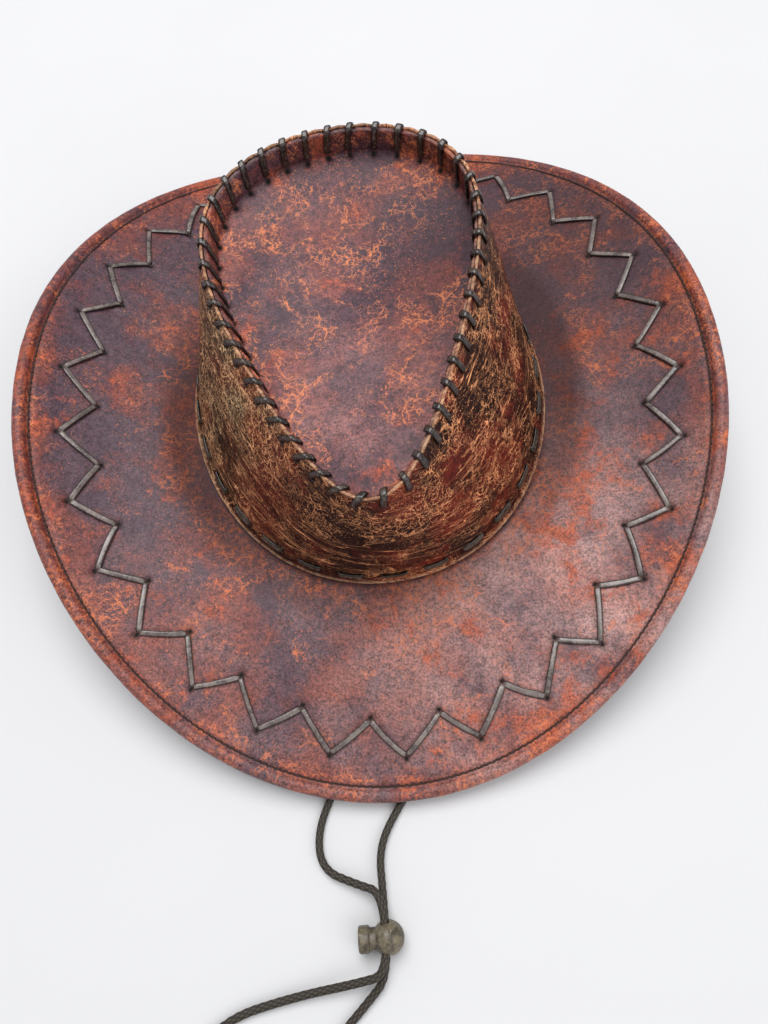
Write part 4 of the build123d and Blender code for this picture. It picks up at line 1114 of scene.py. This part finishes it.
def make_crown_top():
    angle = circle_of(TOP_COLUMNS)
    lean = flange_lean(angle) * FLANGE_HEIGHT
    inner_angles = whip_places()
    inner_angles = inner_angles + whip_slant(inner_angles) / radian_length(ridge, inner_angles)
    holes = leaned(turn_skin(inner_angles, WHIP_INNER_HOLE), flange_lean(inner_angles) * FLANGE_HEIGHT)

    def rows_of(lift):
        rows = rows_along(dish_skin, angle, DISH_ROWS, lift) + rows_along(turn_skin, angle, TURN_ROWS, lift)
        rows += rows_along(flange_skin, angle, FLANGE_ROWS, lift)
        parts = np.concatenate([1 - DISH_ROWS, np.ones(len(TURN_ROWS)), FLANGE_ROWS])
        return [leaned(row, lean * part) for row, part in zip(rows, parts)]

    upper = np.stack(rows_of(0.0))
    way = unit(np.cross(np.roll(upper, -1, 1) - np.roll(upper, 1, 1), np.gradient(upper, axis=0)))
    way = way * np.sign(way[len(DISH_ROWS) // 2, 0, 2])
    near_hole, painted_hole_shade = dimples(upper, holes, HOLE_RADIUS), painted_hole_mask(upper, holes)
    turn_end = len(DISH_ROWS) + len(TURN_ROWS)
    deep = np.append(np.full(turn_end, BELOW_LACE), FLANGE_ROWS * FLANGE_HEIGHT)[:, None]
    beat = whip_beat(angle + 0 * deep, (WHIP_TALL + WHIP_ACROSS + np.minimum(deep, WHIP_TALL)) / WHIP_ROUND)
    lift = 0.10 * ripple(upper, 41, 13) + 0.05 * ripple(upper, 42, 5) - 0.5 * beat * bell(deep - 3, 2.6)
    upper = upper + way * wide(lift - 0.9 * near_hole)
    scallop = SCALLOP * whip_beat(angle, 0.5) + INNER_PLY_DROP
    upper[-1] -= UP * wide(scallop)
    rim = [wall_at(angle, WALL_HEIGHT - scallop + 0.1, -SECOND_SKIN - deep) for deep in (1.0, 0.65, 0.3)]
    grid = np.stack([*upper, *rim, *rows_of(-LEATHER)[::-3]])

    count, flange_middle = len(upper), turn_end + len(FLANGE_ROWS) // 2
    rows = np.arange(count)[:, None]
    front = np.clip(-np.sin(angle), 0, 1) * np.linspace(0, 1, count)[:, None]
    look = blank_looks(grid, "rust shade hole edge haze crazed")
    # Painted sheen: the top panel is painted lighter towards its front, less so towards the right.
    look.haze[:count] = 0.3 + 0.9 * front - 0.3 * near_angle(angle, 20, 60)
    look.crazed[:count] = 0.5
    look.rust[:count] = 0.05 * front + 0.05 * bell(rows - flange_middle, 6)
    # Painted shade in the dimples round the whip holes, at the turn under the flange and over the flange
    # inside the ridge; the back left and the right are darker too.
    look.shade[:count] = (0.5 * near_hole + 0.25 * bell(rows - turn_end, 3) + 0.20 * (rows > turn_end)
                          + 0.10 * near_angle(angle, 130, 70) * np.clip(rows / 30, 0, 1)
                          + 0.45 * near_angle(angle, 15, 50) * np.clip(rows / 40, 0, 1))
    look.hole[:count] = painted_hole_shade
    look.edge[count:count + len(rim)] = 0.10 + 0.40 * near_angle(angle, 340, 50)
    flow = metres_along(grid, 0.5)
    obj = ring_object("crown_top_leather", grid, flow, closed=False, caps=True, **vars(look))
    finish_piece(obj, TOP, "crown_top_panel")


# ---------- inside the crown
SWEATBAND_COLUMNS = 480
TAB_ANGLES = [(-1, 5), (175, 184), (355, 360)]   # degrees where the cord's tabs cover the hem


def make_sweatband():
    angle = circle_of(SWEATBAND_COLUMNS)
    low, face = -WALL_FOOT - SWEATBAND_DROP, -SWEATBAND_INSET - SWEATBAND_THICKNESS
    heights = np.linspace(low, low + SWEATBAND_HEIGHT, 26)
    rows = [wall_at(angle, height, -SWEATBAND_INSET) for height in heights]
    for height in heights[::-1]:
        uneven = 0.12 * (1 + ripple(wall_at(angle, height, face), 51, 20))
        rows.append(wall_at(angle, height, face - uneven + 0.35 * bell(height - low - SWEATBAND_HEM, 1.0)))
    grid = np.stack(rows)
    obj = ring_object("sweatband_leather", grid, metres_along(grid, 0.55))
    finish_piece(obj, BAND, "sweatband")

    def hem(at, across=0.0, lift=0.0):
        return wall_at(at, low + SWEATBAND_HEM + across, face - lift)

    row = stitch_row("sweatband_stitches", hem, lambda a: wall_at(a, low + SWEATBAND_HEM),
                     SEAM_THREAD / 2, TAB_ANGLES)
    finish_piece(row, THREAD, "sweatband_thread")


def make_seam_stitches():
    """Two rows of closed thread stitches beside the crown's back seam."""
    rng = np.random.default_rng(24)
    pitch = (WALL_HEIGHT - SEAM_FOOT - SEAM_HEAD) / SEAM_STITCHES
    high, low = SEAM_LIFT, -SECOND_SKIN - SEAM_STAY - SEAM_LIFT
    offset = SEAM_ROW_OFFSET / radian_length(lambda a: wall(a, 0.5), BACK)

    def skin(height, around, lift=0.0):
        return wall(BACK + around, height, lift)

    parts = []
    for around in (-offset, offset):
        for middle in SEAM_FOOT + pitch * (np.arange(SEAM_STITCHES) + 0.5):
            ends = [np.array([(middle + reach) / WALL_HEIGHT, around])
                    for reach in (-SEAM_STITCH_LENGTH / 2, SEAM_STITCH_LENGTH / 2)]
            parts.append(laced_strap(skin, ends, low, high, rng, SEAM_WIDTH, SEAM_THREAD, SEAM_BOW,
                                     SEAM_STITCH_LENGTH))
    finish_piece(group_object("seam_stitches", parts), THREAD, "crown_seam_stitches")


# ---------- chin cord
# The cord's route, from the left tab under the brim's front, through the lock, round the closing
# loop and back to the right tab: the same points as the solid's.
CORD_ROUTE = [
    (81.41, 9.68, 22.37), (86.31, 9.99, 9.26), (82.0, -13.0, 3.6), (84.0, -38.0, 1.75),
    (77.0, -74.0, 1.75), (60.0, -112.0, 1.75), (36.0, -148.0, 1.75), (13.0, -178.0, 1.75),
    (-4.0, -198.0, 1.9), (-11.6, -212.0, 2.9), (-11.0, -229.0, 4.9), (-11.0, -259.5, 4.9),
    (-20.5, -269.0, 2.2), (-34.0, -281.0, 1.75), (-46.0, -299.0, 1.75), (-66.0, -317.0, 1.75),
    (-91.0, -313.0, 1.75), (-99.0, -291.0, 1.75), (-81.0, -271.0, 2.0), (-50.0, -264.5, 2.9),
    (-23.0, -261.0, 6.6), (-11.0, -258.5, 8.7), (-11.0, -228.5, 8.7), (-21.5, -225.0, 5.4),
    (-37.5, -218.0, 2.8), (-38.0, -200.0, 1.75), (-26.0, -180.0, 1.75), (-35.0, -150.0, 1.75),
    (-58.0, -112.0, 1.75), (-76.0, -74.0, 1.75), (-84.0, -38.0, 1.75), (-83.0, -13.0, 3.6),
    (-84.77, 0.11, 9.82), (-80.62, 0.33, 23.2),
]
CORD_GIRTH = 0.011           # metres round the cord, for the flow coordinates
BRAID_STEP, BRAID_ROUND = 0.32, 32
BRAID_STRANDS, BRAID_TURN = 3, FULL_TURN / 7.0
BRAID_CORE, BRAID_RISE = 0.84, 0.16      # shares of the cord's radius


def cord_line():
    """Points of the smooth line through the cord's route."""
    curve = bpy.data.curves.new("cord_route", "CURVE")
    curve.dimensions = "3D"
    curve.resolution_u = 24
    spline = curve.splines.new("NURBS")
    spline.points.add(len(CORD_ROUTE) - 1)
    for control, place in zip(spline.points, CORD_ROUTE):
        control.co = [c * MM for c in place] + [1.0]
    spline.order_u = 3
    spline.use_endpoint_u = True
    holder = bpy.data.objects.new("cord_route", curve)
    mesh = bpy.data.meshes.new_from_object(holder)
    line = np.array([v.co[:] for v in mesh.vertices]) / MM
    bpy.data.objects.remove(holder)
    return line


def evenly_along(line, step):
    reach = run_of(line)
    goal = np.linspace(0, reach[-1], int(reach[-1] / step) + 1)
    return np.stack([np.interp(goal, reach, line[:, k]) for k in range(3)], -1), goal


def carried_normals(line):
    """Normals along a line that turn no more than the line does."""
    along = unit(np.gradient(line, axis=0))
    normal = np.cross(along[0], [0.0, 1.0, 0.0])
    normals = []
    for way in along:
        normal = normal - way * (normal @ way)
        normal = normal / np.linalg.norm(normal)
        normals.append(normal)
    return along, np.array(normals)


def make_cord():
    """Round braid: the strands cross in diamonds that stand out of the tube."""
    line = cord_line()
    points, reach = evenly_along(line, BRAID_STEP)
    along, normals = carried_normals(points)
    sides = np.cross(along, normals)
    turn = circle_of(BRAID_ROUND)[None, :]
    twist = reach[:, None] * BRAID_TURN
    weave = np.abs(np.cos(BRAID_STRANDS * turn + twist) * np.cos(BRAID_STRANDS * turn - twist)) ** 0.55
    radius = CORD_DIAMETER / 2 * (BRAID_CORE + BRAID_RISE * weave)
    radius[[0, -1]] *= 0.9
    grid = (points[:, None] + normals[:, None] * wide(radius * np.cos(turn))
            + sides[:, None] * wide(radius * np.sin(turn)))
    u = np.broadcast_to(reach[:, None] * MM, (len(points), BRAID_ROUND + 1))
    v = np.broadcast_to(np.linspace(0, CORD_GIRTH, BRAID_ROUND + 1), u.shape)
    obj = ring_object("chin_cord_braid", grid, (u, v), closed=False, caps=True, strand=weave)
    finish_piece(obj, CORD, "chin_cord")


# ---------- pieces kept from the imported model
def dress_nodes():
    dress = {"edge_wire": STEEL, "edge_wire_sleeve": STEEL, "cord_lock_spring": STEEL,
             "crown_seam_stay": LINING, "cord_tab_left": BAND, "cord_tab_right": BAND,
             "cord_lock_body": PLASTIC, "cord_lock_button": PLASTIC}
    for name, material in dress.items():
        data = nodes[name].data
        data.materials.clear()
        data.materials.append(material)


# ---------- floor and light
FLOOR_HALF = 2500.0
LIT_PLACE = (0, 0, 0.05)     # metres
SKY, SKY_STRENGTH = (0.95, 0.96, 1.0, 1), 0.55


def add_floor():
    s = Shader("floor")
    base = s.mix(s.noise(s.place(), 3.0, 3), (0.60, 0.60, 0.61, 1), (0.66, 0.66, 0.66, 1))
    corners = [(x * FLOOR_HALF, y * FLOOR_HALF, 0) for x, y in ((-1, -1), (1, -1), (1, 1), (-1, 1))]
    floor = new_object("floor", corners, [(0, 1, 2, 3)], smooth=False)
    floor.data.materials.append(s.finish(base, 0.9))


def add_light(name, place, size, power):
    """Round lamp at a place in metres, turned to the hat."""
    data = bpy.data.lights.new(name, "AREA")
    data.shape = "DISK"
    data.size = size
    data.energy = power
    away = unit(np.array(place) - LIT_PLACE)
    side = unit(np.cross(UP + [0.001, 0, 0], away))
    linked(name, data, side, np.cross(away, side), away, place)


def add_world():
    world = bpy.data.worlds.new("world")
    bpy.context.scene.world = world
    world.use_nodes = True
    background = world.node_tree.nodes["Background"]
    background.inputs["Color"].default_value = SKY
    background.inputs["Strength"].default_value = SKY_STRENGTH


def main():
    make_brim_leather()
    make_brim_lining()
    make_edge_stitches()
    make_lace("zigzag_lace", brim, zigzag_pairs(), 21, BRIM_PLY,
              LACE_WIDTH, ZIGZAG_BOW, LACE, "brim_zigzag_lace")
    make_crown_wall()
    make_crown_top()
    make_whip_lace()
    make_lace("base_lace", wall, base_lace_pairs(), 22, WALL_PLY,
              BASE_LACE_WIDTH, BASE_BOW, BASE, "crown_base_lace")
    make_sweatband()
    make_seam_stitches()
    make_cord()
    dress_nodes()
    add_floor()
    add_light("key", (-0.15, 0.55, 1.7), 1.3, 28)
    add_light("fill", (0.9, -0.9, 1.3), 1.6, 11)
    add_world()
    bpy.context.scene.view_settings.view_transform = "Standard"


main()
